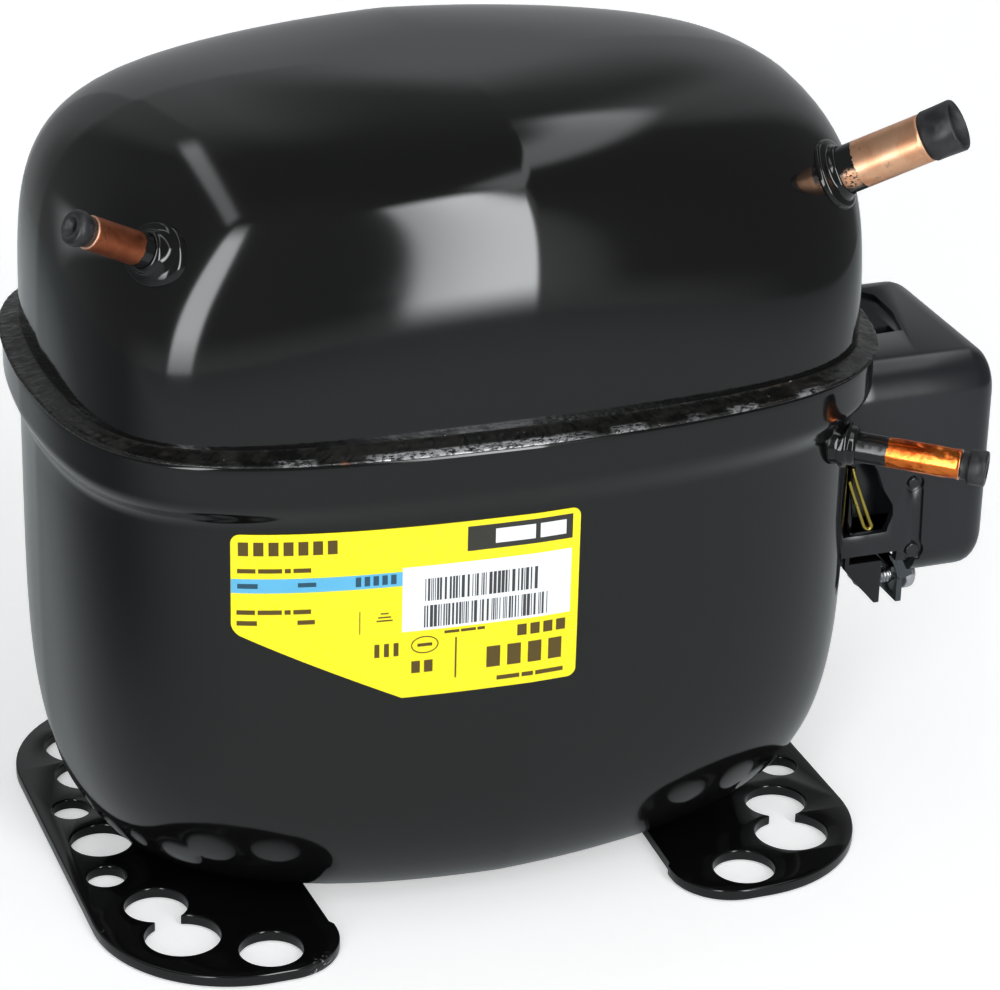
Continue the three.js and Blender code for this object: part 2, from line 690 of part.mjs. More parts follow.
function statorCore() {
  const { bottom, top, halfLength, halfWidth, bore } = STACK;
  const chamfer = 13;
  const [x, y] = [halfLength - chamfer, halfWidth - chamfer];
  const outline = new THREE.Shape([
    [x, -halfWidth], [halfLength, -y], [halfLength, y], [x, halfWidth],
    [-x, halfWidth], [-halfLength, y], [-halfLength, -y], [-x, -halfWidth],
  ].map((corner) => new THREE.Vector2(...corner)));
  outline.holes.push(new THREE.Path(circlePoints(bore, 32).reverse()));
  const core = new THREE.ExtrudeGeometry(outline, { depth: top - bottom, bevelEnabled: false });
  return core.translate(0, 0, bottom);
}

// coil ends, a padded ring above or below the stack
function coilEnd(z, height) {
  const inner = 33;
  const outer = 49;
  const round = 4;
  const profile = [
    [inner, z], [outer - round * 0.3, z], [outer, z + Math.sign(height) * round],
    [outer - 1, z + height - Math.sign(height) * round], [outer - round, z + height],
    [inner + round, z + height], [inner, z + height - Math.sign(height) * round], [inner, z],
  ];
  return turned(profile, 20);
}

add('stator_core', statorCore(), castIron());
add('winding_top', coilEnd(STACK.top + GAP, 14), winding());
add('winding_bottom', coilEnd(STACK.bottom - GAP, -15), winding());
add('rotor', ringZ(SHAFT_RADIUS + GAP, 30, STACK.bottom, STACK.top, 28), steel());

// crankshaft: shaft, web and eccentric pin, with the pin pointing along +Y at mid stroke
const WEB = { bottom: 134.4, top: 141, radius: 19.5 };
const CRANK_PIN_RADIUS = 7;
add('crankshaft', join(
  rodZ(0, 0, 32, WEB.bottom + 1, SHAFT_RADIUS, 24), rodZ(0, 0, WEB.bottom, WEB.top, WEB.radius, 28),
  rodZ(0, CRANK_RADIUS, WEB.top - 1, 159, CRANK_PIN_RADIUS, 20),
), steel());
add('oil_pickup', cut(
  turned([[0, 14], [3.2, 14], [6.4, 31.7], [0, 31.7]], 16), rodZ(0, 0, 10, 26, 1.8, 10),
), steel());

// half ring on the rotor that balances the crank pin
function counterweight() {
  const ring = ringZ(19.5, 28.5, STACK.top + GAP, STACK.top + 8, 28);
  return cut(ring, box(-40, 40, 0, 40, STACK.top - 5, STACK.top + 15));
}
add('counterweight', counterweight(), castIron());

// ---------------------------------------------------------------- pump

const DECK = { bottom: 122, top: 130 };
const CYLINDER_HALF = 25;
const BOLT = { reach: 19.5, shank: 3, head: 5, headLength: 4.5 };
const HEAD_STACK = {
  gasket: CYLINDER_END + GAP,
  plate: CYLINDER_END + 1.4,
  upperGasket: CYLINDER_END + 4.7,
  head: CYLINDER_END + 5.8,
};
const HEAD_END = HEAD_STACK.head + 15;
const BOLT_PLACES = [[1, 1], [-1, 1], [-1, -1], [1, -1]].map(([y, z]) =>
  [BOLT.reach * y, CYLINDER_Z + BOLT.reach * z],
);
const boltHoles = (x0, x1) => BOLT_PLACES.map(([y, z]) => rodX(x0, x1, y, z, BOLT.shank + 0.5, 8));
const slab = (x0, x1, half) => box(x0, x1, -half, half, CYLINDER_Z - half, CYLINDER_Z + half);

function cylinderBlock() {
  const deck = box(-54, 54, -51, 51, DECK.bottom, DECK.top);
  const corners = [[1, 1], [1, -1], [-1, 1], [-1, -1]];
  const legs = corners.map(([x, y]) => {
    return box(x * 46 - 7, x * 46 + 7, y * 43 - 7, y * 43 + 7, STACK.top + GAP, DECK.bottom + 1);
  });
  const hub = rodZ(0, 0, 108, 133.6, 16.5, 18);
  const cylinder = slab(CYLINDER_START, CYLINDER_END, CYLINDER_HALF);
  const shaftBore = rodZ(0, 0, 100, 140, SHAFT_RADIUS + GAP + 0.1, 18);
  const pistonBore = rodX(CYLINDER_START - 5, CYLINDER_END + 5, 0, CYLINDER_Z, BORE / 2 + 0.4, 24);
  const windows = [[-42, -22], [22, 42]].map(([y0, y1]) =>
    box(-40, 10, y0, y1, DECK.bottom - 1, DECK.top + 1),
  );
  const crankRoom = rodZ(0, 0, 133.8, 170, WEB.radius + 1.5, 20);
  return cut(
    join(deck, ...legs, hub, cylinder), shaftBore, pistonBore, ...windows, crankRoom,
    ...boltHoles(46, CYLINDER_END + 2),
  );
}

add('cylinder_block', cylinderBlock(), castIron());
add('thrust_washer', ringZ(SHAFT_RADIUS + GAP, 15.5, 133.9, 134.1, 20), finish(0xb08d4a, 0.35, 1.0));

// rod between the crank pin and the wrist pin, thick eyes at both ends
function connectingRod() {
  const bigEye = ringZ(CRANK_PIN_RADIUS + 0.4, 11.8, -6, 6, 18);
  const smallEye = ringZ(5.8, 8.8, -5, 5, 16).translate(ROD_LENGTH, 0, 0);
  const shank = box(9.6, ROD_LENGTH - 7, -3.6, 3.6, -4, 4);
  const angle = Math.atan2(-CRANK_RADIUS, PISTON_X);
  return join(bigEye, smallEye, shank).rotateZ(angle).translate(0, CRANK_RADIUS, CYLINDER_Z);
}

function piston() {
  const outer = BORE / 2 - 0.2;
  const inner = 12.5;
  const back = PISTON_X - 10;
  const crown = PISTON_X + PIN_TO_CROWN;
  const cup = turned([
    [inner, back], [outer, back], [outer, crown - 0.6], [outer - 0.6, crown], [0, crown], [0, crown - 3.2],
    [inner, crown - 3.2], [inner, back],
  ], 22).rotateY(Math.PI / 2).translate(0, 0, CYLINDER_Z);
  return cut(cup, rodZ(PISTON_X, 0, CYLINDER_Z - 20, CYLINDER_Z + 20, 4 + GAP, 16));
}

add('connecting_rod', connectingRod(), finish(0xb9bcc0, 0.4, 1.0));
add('piston', piston(), steel());
add('wrist_pin', rodZ(PISTON_X, 0, CYLINDER_Z - 14.6, CYLINDER_Z + 14.6, 4, 16), steel());

// valve plate, gaskets, reeds and head, stacked on the cylinder's end
const REED = {
  pivotZ: CYLINDER_Z + 12.5, tipZ: CYLINDER_Z - 9, halfWidth: 3.2, sheet: 0.3, suctionY: -6, dischargeY: 6,
};
const PORT_Z = CYLINDER_Z - 5;
const reed = (x, y) =>
  box(x, x + REED.sheet, y - REED.halfWidth, y + REED.halfWidth, REED.tipZ, REED.pivotZ);

add('cylinder_gasket', cut(
  slab(HEAD_STACK.gasket, HEAD_STACK.gasket + 0.7, CYLINDER_HALF),
  rodX(50, 90, 0, CYLINDER_Z, BORE / 2 + 0.6, 20), ...boltHoles(50, 90),
), gasketSheet());
add('valve_plate', cut(
  slab(HEAD_STACK.plate, HEAD_STACK.plate + 3, CYLINDER_HALF),
  rodX(50, 90, REED.suctionY, PORT_Z, 2.6, 14), rodX(50, 90, REED.dischargeY, PORT_Z, 2.2, 14),
  ...boltHoles(50, 90),
), steel());
add('suction_reed', reed(HEAD_STACK.plate - GAP - REED.sheet, REED.suctionY), steel());
add('discharge_reed', reed(HEAD_STACK.plate + 3 + GAP, REED.dischargeY), steel());
add('head_gasket', cut(
  slab(HEAD_STACK.upperGasket, HEAD_STACK.upperGasket + 0.7, CYLINDER_HALF),
  slab(50, 90, 15.5), ...boltHoles(50, 90),
), gasketSheet());
add('cylinder_head', cut(
  slab(HEAD_STACK.head, HEAD_END, CYLINDER_HALF), slab(HEAD_STACK.head - 2, HEAD_STACK.head + 11, 15.5),
  ...boltHoles(50, 110), rodY(HEAD_STACK.head + 5.5, -30, -10, CYLINDER_Z, 1.8, 12),
), castIron());
BOLT_PLACES.forEach(([y, z], i) => {
  const shank = rodX(48, HEAD_END + 0.8, y, z, BOLT.shank - 0.1, 8);
  const bolt = join(shank, rodX(HEAD_END + GAP, HEAD_END + BOLT.headLength, y, z, BOLT.head, 6));
  add(`head_bolt_${i + 1}`, bolt, steel());
});

// plastic suction muffler on top of the cylinder
function suctionMuffler() {
  const outline = new THREE.Shape();
  const round = 6;
  const [x, y] = [19 - round, 18 - round]; // centres of the rounded corners
  outline.absarc(x, y, round, 0, Math.PI / 2, false);
  outline.absarc(-x, y, round, Math.PI / 2, Math.PI, false);
  outline.absarc(-x, -y, round, Math.PI, 1.5 * Math.PI, false);
  outline.absarc(x, -y, round, 1.5 * Math.PI, 2 * Math.PI, false);
  const can = new THREE.ExtrudeGeometry(outline, { depth: 15, bevelEnabled: false, curveSegments: 4 })
    .translate(42, 0, CYLINDER_Z + CYLINDER_HALF + GAP);
  const neck = rodX(55, HEAD_STACK.head + 6, 0, CYLINDER_Z + CYLINDER_HALF + 6, 4.5, 16);
  return join(can, neck);
}
add('suction_muffler', suctionMuffler(), whitePlastic());

// discharge line from the head round to the outlet, long enough to flex with the pump
const OUTLET = PORTS.discharge;
const outletPoint = (back) =>
  portHeading(OUTLET).multiplyScalar(back).add(new THREE.Vector3(...OUTLET.base)).toArray();

function dischargeLoop() {
  const start = HEAD_STACK.head + 5.5;
  const route = [
    [start, -CYLINDER_HALF - GAP, 0], [start, -33, 0], [HEAD_STACK.head, -42, 0], [58, -53, -1],
    [30, -58.5, -5], [4, -60, -12], [0, -60, -18], [6, -60, -23], [30, -60, -28], [56, -55, -32],
  ].map(([x, y, drop]) => [x, y, CYLINDER_Z + drop]);
  return bentBar([...route, outletPoint(-20), outletPoint(-9)], 2.6, 34, 7);
}

add('discharge_loop', dischargeLoop(), copper());

// ---------------------------------------------------------------- suspension

const SPRING_PLACES = [[1, -1], [1, 1], [-1, 1], [-1, -1]].map(([x, y]) => [SPRING.x * x, SPRING.y * y]);

class SpringCurve extends THREE.Curve {
  getPoint(share) {
    const angle = share * SPRING.turns * 2 * Math.PI;
    const start = SPRING.bottom + SPRING.wire;
    const rise = STACK.bottom - GAP - SPRING.wire - start;
    const [x, y] = [SPRING.radius * Math.cos(angle), SPRING.radius * Math.sin(angle)];
    return new THREE.Vector3(x, y, start + rise * share);
  }
}

SPRING_PLACES.forEach(([x, y], i) => {
  const coil = alongCurve(new SpringCurve(), SPRING.wire, 32, 4);
  add(`suspension_spring_${i + 1}`, coil.translate(x, y, 0), steel());
  const seat = turned([[0, 11], [8.4, 11], [8.4, 16], [4.4, 16], [4.4, 21], [3.4, 22], [0, 22]], 14);
  const fitted = geometryOf(solidOf(seat.translate(x, y, 0)).intersect(solidOf(lowerVolume(-WALL - 1.5))));
  add(`spring_seat_${i + 1}`, fitted, steel());
});

// the origin goes under the middle of the bounding box, on the plane under the foot plates
const bounds = new THREE.Box3().setFromObject(compressor);
compressor.position.x = -(bounds.min.x + bounds.max.x) / 2;
compressor.position.y = -(bounds.min.y + bounds.max.y) / 2;

export default compressor;
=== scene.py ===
# Looks of the hermetic compressor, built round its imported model.
# The lengths below are the part's own millimetre dimensions, about the design origin between
# the mounting holes; place() moves them into the row frame, in metres.

import json
import random

from math import acos, atan2, cos, hypot, pi, radians, sin
from types import SimpleNamespace as Sizes

import bmesh
import bpy
import numpy as np
from mathutils import Matrix, Vector, noise


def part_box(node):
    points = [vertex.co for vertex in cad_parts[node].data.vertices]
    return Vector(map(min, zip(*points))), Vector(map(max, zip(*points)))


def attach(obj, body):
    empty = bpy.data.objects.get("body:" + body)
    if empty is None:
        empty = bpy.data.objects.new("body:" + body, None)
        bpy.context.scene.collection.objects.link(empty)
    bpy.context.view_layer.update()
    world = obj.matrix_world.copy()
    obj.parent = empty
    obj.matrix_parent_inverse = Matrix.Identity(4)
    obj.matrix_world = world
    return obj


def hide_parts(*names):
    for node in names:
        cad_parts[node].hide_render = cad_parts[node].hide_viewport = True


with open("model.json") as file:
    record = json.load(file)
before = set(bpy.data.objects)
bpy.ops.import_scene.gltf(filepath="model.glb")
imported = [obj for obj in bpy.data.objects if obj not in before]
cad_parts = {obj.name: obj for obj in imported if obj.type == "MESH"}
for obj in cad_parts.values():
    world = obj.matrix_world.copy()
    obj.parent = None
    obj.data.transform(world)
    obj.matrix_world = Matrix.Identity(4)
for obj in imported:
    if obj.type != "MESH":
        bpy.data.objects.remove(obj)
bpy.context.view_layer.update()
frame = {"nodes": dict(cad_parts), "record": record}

BODY_OF = {
    node: body
    for body, nodes in frame["record"]["behaviour"]["bodies"].items()
    for node in nodes
}

# -------- dimensions, in millimetres

AROUND = 288  # points round a shell
RIM_PLAN = dict(length=107.6, width=75.6, facet=105.9, angle=57.8, power=6.64)
BEAD_PLAN = dict(length=108.4, width=76.4, facet=106.7, angle=57.8, power=6.64)
BODY_PLAN = dict(length=104.2, width=73.4, facet=99.4, angle=58.7, power=6.5)
CAP_PLAN = dict(length=102.7, width=69.1, facet=101.5, angle=59.7, power=6.65)
CAP_POWERS = dict(length=4.5, width=4.5, facet=3.06)
BOWL_POWERS = dict(length=5.1, width=4.0, facet=3.5)
SEAM_Z, TOP_Z, BOTTOM_Z = 137.1, 209.2, 0.7
COLLAR_Z, BODY_Z, STRAIGHT_Z, SKIRT_Z = 127.0, 118.5, 102.3, 125.0
WALL = 3.2

PLATE = Sizes(
    bottom=1.0, top=4.0, outer=102.3, inner=45, end=74.5, outer_radius=36, inner_radius=15.5
)
PORTS = {
    "suction": Sizes(
        base=(86.2, -45.3, 184.7), heading=-36, slope=29.3, outer=6, bore=5.1, length=24,
        plug_length=8.5, finish="copper_bright", painted=6.3,
    ),
    "process": Sizes(
        base=(-85.9, -46.5, 183.7), heading=-162, slope=28, outer=4, bore=3, length=19.4,
        plug_length=5.2, finish="copper_brown", painted=5.4,
    ),
    "discharge": Sizes(
        base=(87.1, -53.4, 116.1), heading=-35.3, slope=-2.8, outer=3.9, bore=3.1, length=31,
        plug_length=6.5, finish="copper_orange", painted=12.6,
    ),
}
BOX = Sizes(start=98, end=146, near=-28, far=35, bottom=60, top=122, wall=2.2, corner=9)
BRACKET = Sizes(face=106, sheet=1.5, lip=117, near=-24, far=28.5, shelf=65.5, low=52.8)
CLAMP = Sizes(y=-16.5, z=57, shank=2.2)

shell_low, shell_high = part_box("lower_shell")
SHIFT = np.array([*(shell_low + shell_high)[:2], 0]) * 500


# -------- meshes


def place(points):
    """Row-frame metres of points in design millimetres."""
    return (np.asarray(points, float) + SHIFT) / 1000


def new_object(name, data):
    piece = bpy.data.objects.new(name, data)
    bpy.context.scene.collection.objects.link(piece)
    return piece


def make(name, points, faces, finishes=(), kinds=None, sharp=40):
    """A closed mesh from design points, with its faces turned outwards."""
    mesh = bpy.data.meshes.new(name)
    mesh.from_pydata([tuple(p) for p in place(points)], [], [tuple(f) for f in faces])
    piece = new_object(name, mesh)
    for finish in finishes:
        mesh.materials.append(MATERIALS[finish])
    if kinds is not None:
        mesh.polygons.foreach_set("material_index", np.asarray(kinds, np.int32))
    settle(piece, sharp)
    return piece


def settle(piece, sharp=40, merge=False):
    """Faces out, smooth shading with creases kept at sharp edges."""
    work = bmesh.new()
    work.from_mesh(piece.data)
    if merge:
        bmesh.ops.remove_doubles(work, verts=work.verts, dist=1e-6)
    bmesh.ops.recalc_face_normals(work, faces=work.faces)
    work.to_mesh(piece.data)
    work.free()
    piece.data.shade_smooth()
    piece.data.set_sharp_from_angle(angle=radians(sharp))


def stand_in(piece, node):
    """The piece is shown instead of this node and moves with its body."""
    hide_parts(node)
    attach(piece, BODY_OF[node])


def skin(rows, count, wrap_rows=False, wrap_columns=True, start=0):
    """Quads over a grid of rows of count points."""
    faces = []
    for r in range(rows if wrap_rows else rows - 1):
        below, above = start + r * count, start + (r + 1) % rows * count
        for c in range(count if wrap_columns else count - 1):
            after = (c + 1) % count
            faces.append((below + c, below + after, above + after, above + c))
    return faces


def loft(rings, closed=False):
    """Points and faces over rings; open stacks get a fan over each end."""
    rings = np.asarray(rings, float)
    rows, count = rings.shape[:2]
    points = rings.reshape(-1, 3)
    faces = skin(rows, count, wrap_rows=closed)
    if not closed:
        points = np.vstack([points, rings[0].mean(0), rings[-1].mean(0)])
        for row, centre in ((0, len(points) - 2), (rows - 1, len(points) - 1)):
            for c in range(count):
                faces.append((row * count + c, row * count + (c + 1) % count, centre))
    return points, faces


def carve(piece, *tools, operation="DIFFERENCE"):
    """Subtracts closed tool objects from a piece, or joins them to it, then removes them."""
    for tool in tools:
        cutter = piece.modifiers.new("cut", "BOOLEAN")
        cutter.operation = operation
        cutter.solver = "MANIFOLD"
        cutter.object = tool
    bake(piece)
    for tool in tools:
        bpy.data.objects.remove(tool)


def bake(piece):
    """Applies every modifier of a piece to its mesh."""
    evaluated = piece.evaluated_get(bpy.context.evaluated_depsgraph_get())
    mesh = bpy.data.meshes.new_from_object(evaluated)
    piece.modifiers.clear()
    old, piece.data = piece.data, mesh
    bpy.data.meshes.remove(old)


def soften(piece, width, segments=3, limit=35):
    """Rounds the sharp edges of a piece by a width in millimetres."""
    bevel = piece.modifiers.new("bevel", "BEVEL")
    bevel.width = width / 1000
    bevel.segments = segments
    bevel.limit_method = "ANGLE"
    bevel.angle_limit = radians(limit)
    bake(piece)
    settle(piece, 50)
    return piece


def prism(outline, low, high, axis=2, name="tool", finishes=()):
    """Straight solid over a closed outline; axis is the direction it runs in."""
    outline = np.asarray(outline, float)
    rings = []
    for level in (low, high):
        columns = [outline[:, 0], outline[:, 1]]
        columns.insert(axis, np.full(len(outline), float(level)))
        rings.append(np.stack(columns, 1))
    count = len(outline)
    faces = skin(2, count) + [tuple(range(count)), tuple(range(count, 2 * count))]
    return make(name, np.vstack(rings), faces, finishes)


def block(x0, x1, y0, y1, z0, z1, name="tool", finishes=()):
    return prism([(x0, y0), (x1, y0), (x1, y1), (x0, y1)], z0, z1, 2, name, finishes)


def circle(x, y, radius, count=48, start=0.0, sweep=2 * pi):
    steps = count if abs(sweep) > 6.28 else count + 1
    angles = start + sweep * np.arange(steps) / count
    return np.stack([x + radius * np.cos(angles), y + radius * np.sin(angles)], 1)


def turned(profile, matrix, sides=72):
    """Points, faces and heights of a solid of revolution about a local Z axis."""
    profile = np.asarray(profile, float)
    angles = np.arange(sides) * 2 * pi / sides
    on_axis = profile[:, 0] < 1e-6
    rings = [
        np.stack([r * np.cos(angles), r * np.sin(angles), np.full(sides, h)], 1)
        for r, h in profile[~on_axis]
    ]
    points, faces = np.vstack(rings), skin(len(rings), sides, wrap_rows=not on_axis.any())
    for index in np.flatnonzero(on_axis):
        row = 0 if index == 0 else len(rings) - 1
        points = np.vstack([points, [0, 0, profile[index, 1]]])
        centre = len(points) - 1
        faces += [(row * sides + c, row * sides + (c + 1) % sides, centre) for c in range(sides)]
    heights = points[:, 2].copy()
    moved = points @ np.array(matrix.to_3x3()).T + np.array(matrix.translation)
    return moved, faces, heights


def label_points(piece, name, values):
    """Stores one number at each point, for the piece's material to read."""
    layer = piece.data.attributes.new(name, "FLOAT", "POINT")
    layer.data.foreach_set("value", np.asarray(values, np.float32))


# -------- outlines of the shell


def reach(plan, angle):
    c, s = np.abs(np.cos(angle)), np.abs(np.sin(angle))
    tilt = radians(plan["angle"])
    across = c * cos(tilt) + s * sin(tilt)
    power = plan["power"]
    total = (c / plan["length"]) ** power + (s / plan["width"]) ** power
    return (total + (across / plan["facet"]) ** power) ** (-1 / power)


def grown(plan, by):
    return {**plan, **{key: plan[key] + by for key in ("length", "width", "facet")}}


def blended(first, second, share):
    return {key: first[key] + (second[key] - first[key]) * share for key in first}


def rounded_in(plan, powers, u):
    shrunk = {key: plan[key] * (1 - u ** powers[key]) ** (1 / powers[key]) for key in powers}
    return {**plan, **shrunk}


TURN = np.arange(AROUND) * 2 * pi / AROUND


def ring(plan, z, angles=TURN, settle_to=0.0):
    """Outline at one height; near a pole it settles to an ellipse."""
    out = reach(plan, angles)
    if settle_to > 0:
        a, b = plan["length"] * 0.93, plan["width"] * 0.93
        ellipse = 1 / np.sqrt((np.cos(angles) / a) ** 2 + (np.sin(angles) / b) ** 2)
        out = out + (ellipse - out) * settle_to
    return np.stack([out * np.cos(angles), out * np.sin(angles), np.full(len(angles), float(z))], 1)


def dome(plan, powers, z, rise, steps=44):
    """Rings from the straight wall to the pole, evenly spaced along the curve."""
    power = powers["length"]
    half = 0.5 ** (1 / power)
    ups = list(np.linspace(0, half, steps // 2)[1:])
    ins = np.linspace(half, 0.04, steps // 2)[1:]
    ups += [(1 - s**power) ** (1 / power) for s in ins]
    rings = []
    for u in ups:
        size = (1 - u**power) ** (1 / power)
        near_pole = min(max((0.62 - size) / 0.45, 0), 1)
        settle_to = near_pole**2 * (3 - 2 * near_pole)
        rings.append(ring(rounded_in(plan, powers, u), z + u * rise, settle_to=settle_to))
    return rings


# -------- materials


MATERIALS = {}


class Paint:
    """A principled material and the nodes that feed it."""

    def __init__(self, name, color, roughness, metallic=0.0, **sockets):
        self.material = MATERIALS[name] = bpy.data.materials.new(name)
        self.material.use_nodes = True
        self.tree = self.material.node_tree
        self.surface = self.tree.nodes["Principled BSDF"]
        self.place = self.add("ShaderNodeTexCoord").outputs["Object"]
        self.color(color)
        self.rough(roughness)
        self.set("Metallic", metallic)
        for key, value in sockets.items():
            self.set(key.replace("_", " "), value)

    def add(self, kind, **settings):
        node = self.tree.nodes.new(kind)
        for key, value in settings.items():
            setattr(node, key, value)
        return node

    def feed(self, socket, value):
        if isinstance(value, bpy.types.NodeSocket):
            self.tree.links.new(value, socket)
        elif isinstance(value, tuple) and len(value) == 3 and socket.type == "RGBA":
            socket.default_value = (*value, 1)
        else:
            socket.default_value = value

    def set(self, name, value):
        self.feed(self.surface.inputs[name], value)

    def color(self, value):
        self.set("Base Color", value)

    def rough(self, value):
        self.set("Roughness", value)

    def over(self, share, color):
        """Lays a colour over the base colour, by share."""
        base = self.surface.inputs["Base Color"].links[0].from_socket
        self.color(self.mix(share, base, color))

    def noise(self, scale, detail=3.0, roughness=0.5, stretch=None, distortion=0.0):
        node = self.add("ShaderNodeTexNoise")
        source = self.place
        if stretch:
            mapping = self.add("ShaderNodeMapping")
            self.feed(mapping.inputs["Vector"], source)
            mapping.inputs["Scale"].default_value = stretch
            source = mapping.outputs["Vector"]
        self.feed(node.inputs["Vector"], source)
        settings = dict(Scale=scale, Detail=detail, Roughness=roughness, Distortion=distortion)
        for key, value in settings.items():
            node.inputs[key].default_value = value
        return node.outputs["Fac"]

    def cells(self, scale):
        node = self.add("ShaderNodeTexVoronoi")
        self.feed(node.inputs["Vector"], self.place)
        node.inputs["Scale"].default_value = scale
        return node.outputs["Distance"], node.outputs["Color"]

    def math(self, operation, a, b=0.0, c=0.0):
        node = self.add("ShaderNodeMath", operation=operation)
        for socket, value in zip(node.inputs, (a, b, c)):
            self.feed(socket, value)
        return node.outputs[0]

    def vector(self, operation, a, b=(0, 0, 0)):
        node = self.add("ShaderNodeVectorMath", operation=operation)
        self.feed(node.inputs[0], a)
        node.inputs[1].default_value = b
        return node.outputs["Value"]

    def split(self, vector):
        node = self.add("ShaderNodeSeparateXYZ")
        self.feed(node.inputs[0], vector)
        return node.outputs

    def times(self, a, b):
        return self.math("MULTIPLY", a, b)

    def inverse(self, value):
        return self.math("SUBTRACT", 1.0, value)

    def step(self, value, low, high):
        """0 below low, 1 above high, smooth between."""
        node = self.add("ShaderNodeMapRange", interpolation_type="SMOOTHSTEP")
        for key, number in (("Value", value), ("From Min", low), ("From Max", high)):
            self.feed(node.inputs[key], number)
        return node.outputs[0]

    def between(self, value, low, high, soft):
        rise = self.step(value, low - soft, low + soft)
        fall = self.inverse(self.step(value, high - soft, high + soft))
        return self.times(rise, fall)

    def mix(self, share, a, b):
        node = self.add("ShaderNodeMix", data_type="RGBA")
        self.feed(node.inputs["Factor"], share)
        self.feed(node.inputs[6], a)
        self.feed(node.inputs[7], b)
        return node.outputs[2]

    def range(self, value, low, high):
        """Number from low to high as value goes from 0 to 1."""
        return self.math("MULTIPLY_ADD", value, high - low, low)

    def bump(self, height, depth, under=None):
        """Surface relief; depth is in millimetres."""
        node = self.add("ShaderNodeBump")
        node.inputs["Distance"].default_value = depth / 1000
        self.feed(node.inputs["Height"], height)
        if under is not None:
            self.feed(node.inputs["Normal"], under)
        return node.outputs["Normal"]

    def relief(self, height, depth, under=None):
        self.set("Normal", self.bump(height, depth, under))

    def attribute(self, name):
        return self.add("ShaderNodeAttribute", attribute_name=name).outputs["Fac"]

    def near(self, point, radius):
        """1 close to a design point, falling to 0 at the radius, in millimetres."""
        distance = self.vector("DISTANCE", self.place, tuple(place(point)))
        return self.inverse(self.step(distance, radius * 0.0003, radius * 0.001))


def specks(paint, scale, size, share):
    """Sparse round dust dots."""
    distance, color = paint.cells(scale)
    dot = paint.inverse(paint.step(distance, size * 0.5, size))
    chosen = paint.math("GREATER_THAN", color, 1 - share)
    return paint.times(dot, chosen)


def black_paint(name, peel=1.0, dust=1.0):
    """Stoved black enamel: deep gloss, faint orange peel, settled dust."""
    paint = Paint(name, (0.004, 0.004, 0.0042), 0.07, IOR=1.5)
    tone = paint.mix(paint.noise(18, 4), (0.0028, 0.003, 0.0032), (0.0048, 0.0044, 0.0042))
    paint.color(tone)
    dots = specks(paint, 230, 0.07, 0.05 * dust)
    paint.over(dots, (0.12, 0.12, 0.12))
    rub = paint.step(paint.noise(46, 6, 0.65), 0.52, 0.8)
    paint.rough(paint.math("MULTIPLY_ADD", dots, 0.4, paint.range(rub, 0.085, 0.13)))
    wave = paint.bump(paint.noise(26, 1, 0.4), 0.022 * peel)
    paint.relief(paint.noise(330, 2, 0.5), 0.0011 * peel, wave)
    return paint


def weld_finish():
    """Painted weld bead with grime, light grey flecks that are partly chipped paint and partly
    painted glints, and one rust spot.
    """
    bead = Paint("weld_bead", (0.006, 0.006, 0.006), 0.3, IOR=1.5)
    grime = bead.step(bead.noise(190, 5, 0.7), 0.4, 0.7)
    bead.color(bead.mix(grime, (0.0045, 0.0045, 0.0042), (0.0125, 0.0115, 0.009)))
    # light grey flecks on the bead's outer edge on the label side, with sparse ones all round: partly
    # bare steel where the paint chipped, partly painted glints
    fleck_pattern = bead.step(bead.noise(1100, 4, 0.8, stretch=(0.6, 1, 1)), 0.46, 0.53)
    glint_and_chip_flecks = bead.times(bead.times(fleck_pattern, bead.attribute("edge")), bead.attribute("front"))
    glint_and_chip_flecks = bead.math("MAXIMUM", glint_and_chip_flecks, bead.step(bead.noise(900, 2, 0.6), 0.75, 0.77))
    bead.over(glint_and_chip_flecks, (0.5, 0.5, 0.51))
    rusty = bead.step(bead.noise(600, 3), 0.4, 0.56)
    rust = bead.times(bead.near((-49.1, -75.5, 138.4), 4.2), rusty)
    bead.over(rust, (0.3, 0.1, 0.025))
    bead.set("Metallic", bead.times(glint_and_chip_flecks, 0.3))
    bead.rough(bead.range(bead.math("MAXIMUM", grime, rust), 0.26, 0.55))
    bead.relief(bead.noise(520, 4, 0.65), 0.05)


def copper(name, dark, light, low, high, dents):
    """Drawn tube with stains, a bright cut edge and paint running onto its foot."""
    metal = Paint(name, light, low, 1.0)
    patches = metal.step(metal.noise(150, 5, 0.62, distortion=0.6), 0.36, 0.62)
    metal.color(metal.mix(patches, dark, light))
    stains = metal.step(metal.noise(330, 3, 0.7), 0.6, 0.7)
    metal.over(metal.times(stains, 0.55), tuple(c * 0.45 for c in dark))
    rim = metal.attribute("cut_edge")
    metal.over(rim, (0.98, 0.62, 0.46))
    ragged = metal.math("MULTIPLY_ADD", metal.noise(900, 3, 0.7), 1.6, metal.attribute("along"))
    painted = metal.math("LESS_THAN", ragged, metal.attribute("paint_end"))
    if name == "copper_bright":
        torn = metal.step(metal.noise(1200, 4, 0.7), 0.42, 0.5)
        flux = metal.times(metal.near((86.5, -52.7, 185.6), 3.4), torn)
        painted = metal.times(painted, metal.inverse(flux))
    metal.over(painted, (0.005, 0.005, 0.005))
    metal.set("Metallic", metal.inverse(painted))
    rough = metal.range(metal.noise(260, 4, 0.7), low - 0.06, high)
    rough = metal.math("MULTIPLY_ADD", rim, 0.1, rough)
    metal.rough(metal.math("MULTIPLY_ADD", painted, 0.12 - low, rough))
    drawn = metal.bump(metal.noise(700, 3, 0.6, stretch=(0.35, 0.35, 1)), dents * 0.25)
    metal.relief(metal.noise(210, 2, 0.55), dents, drawn)


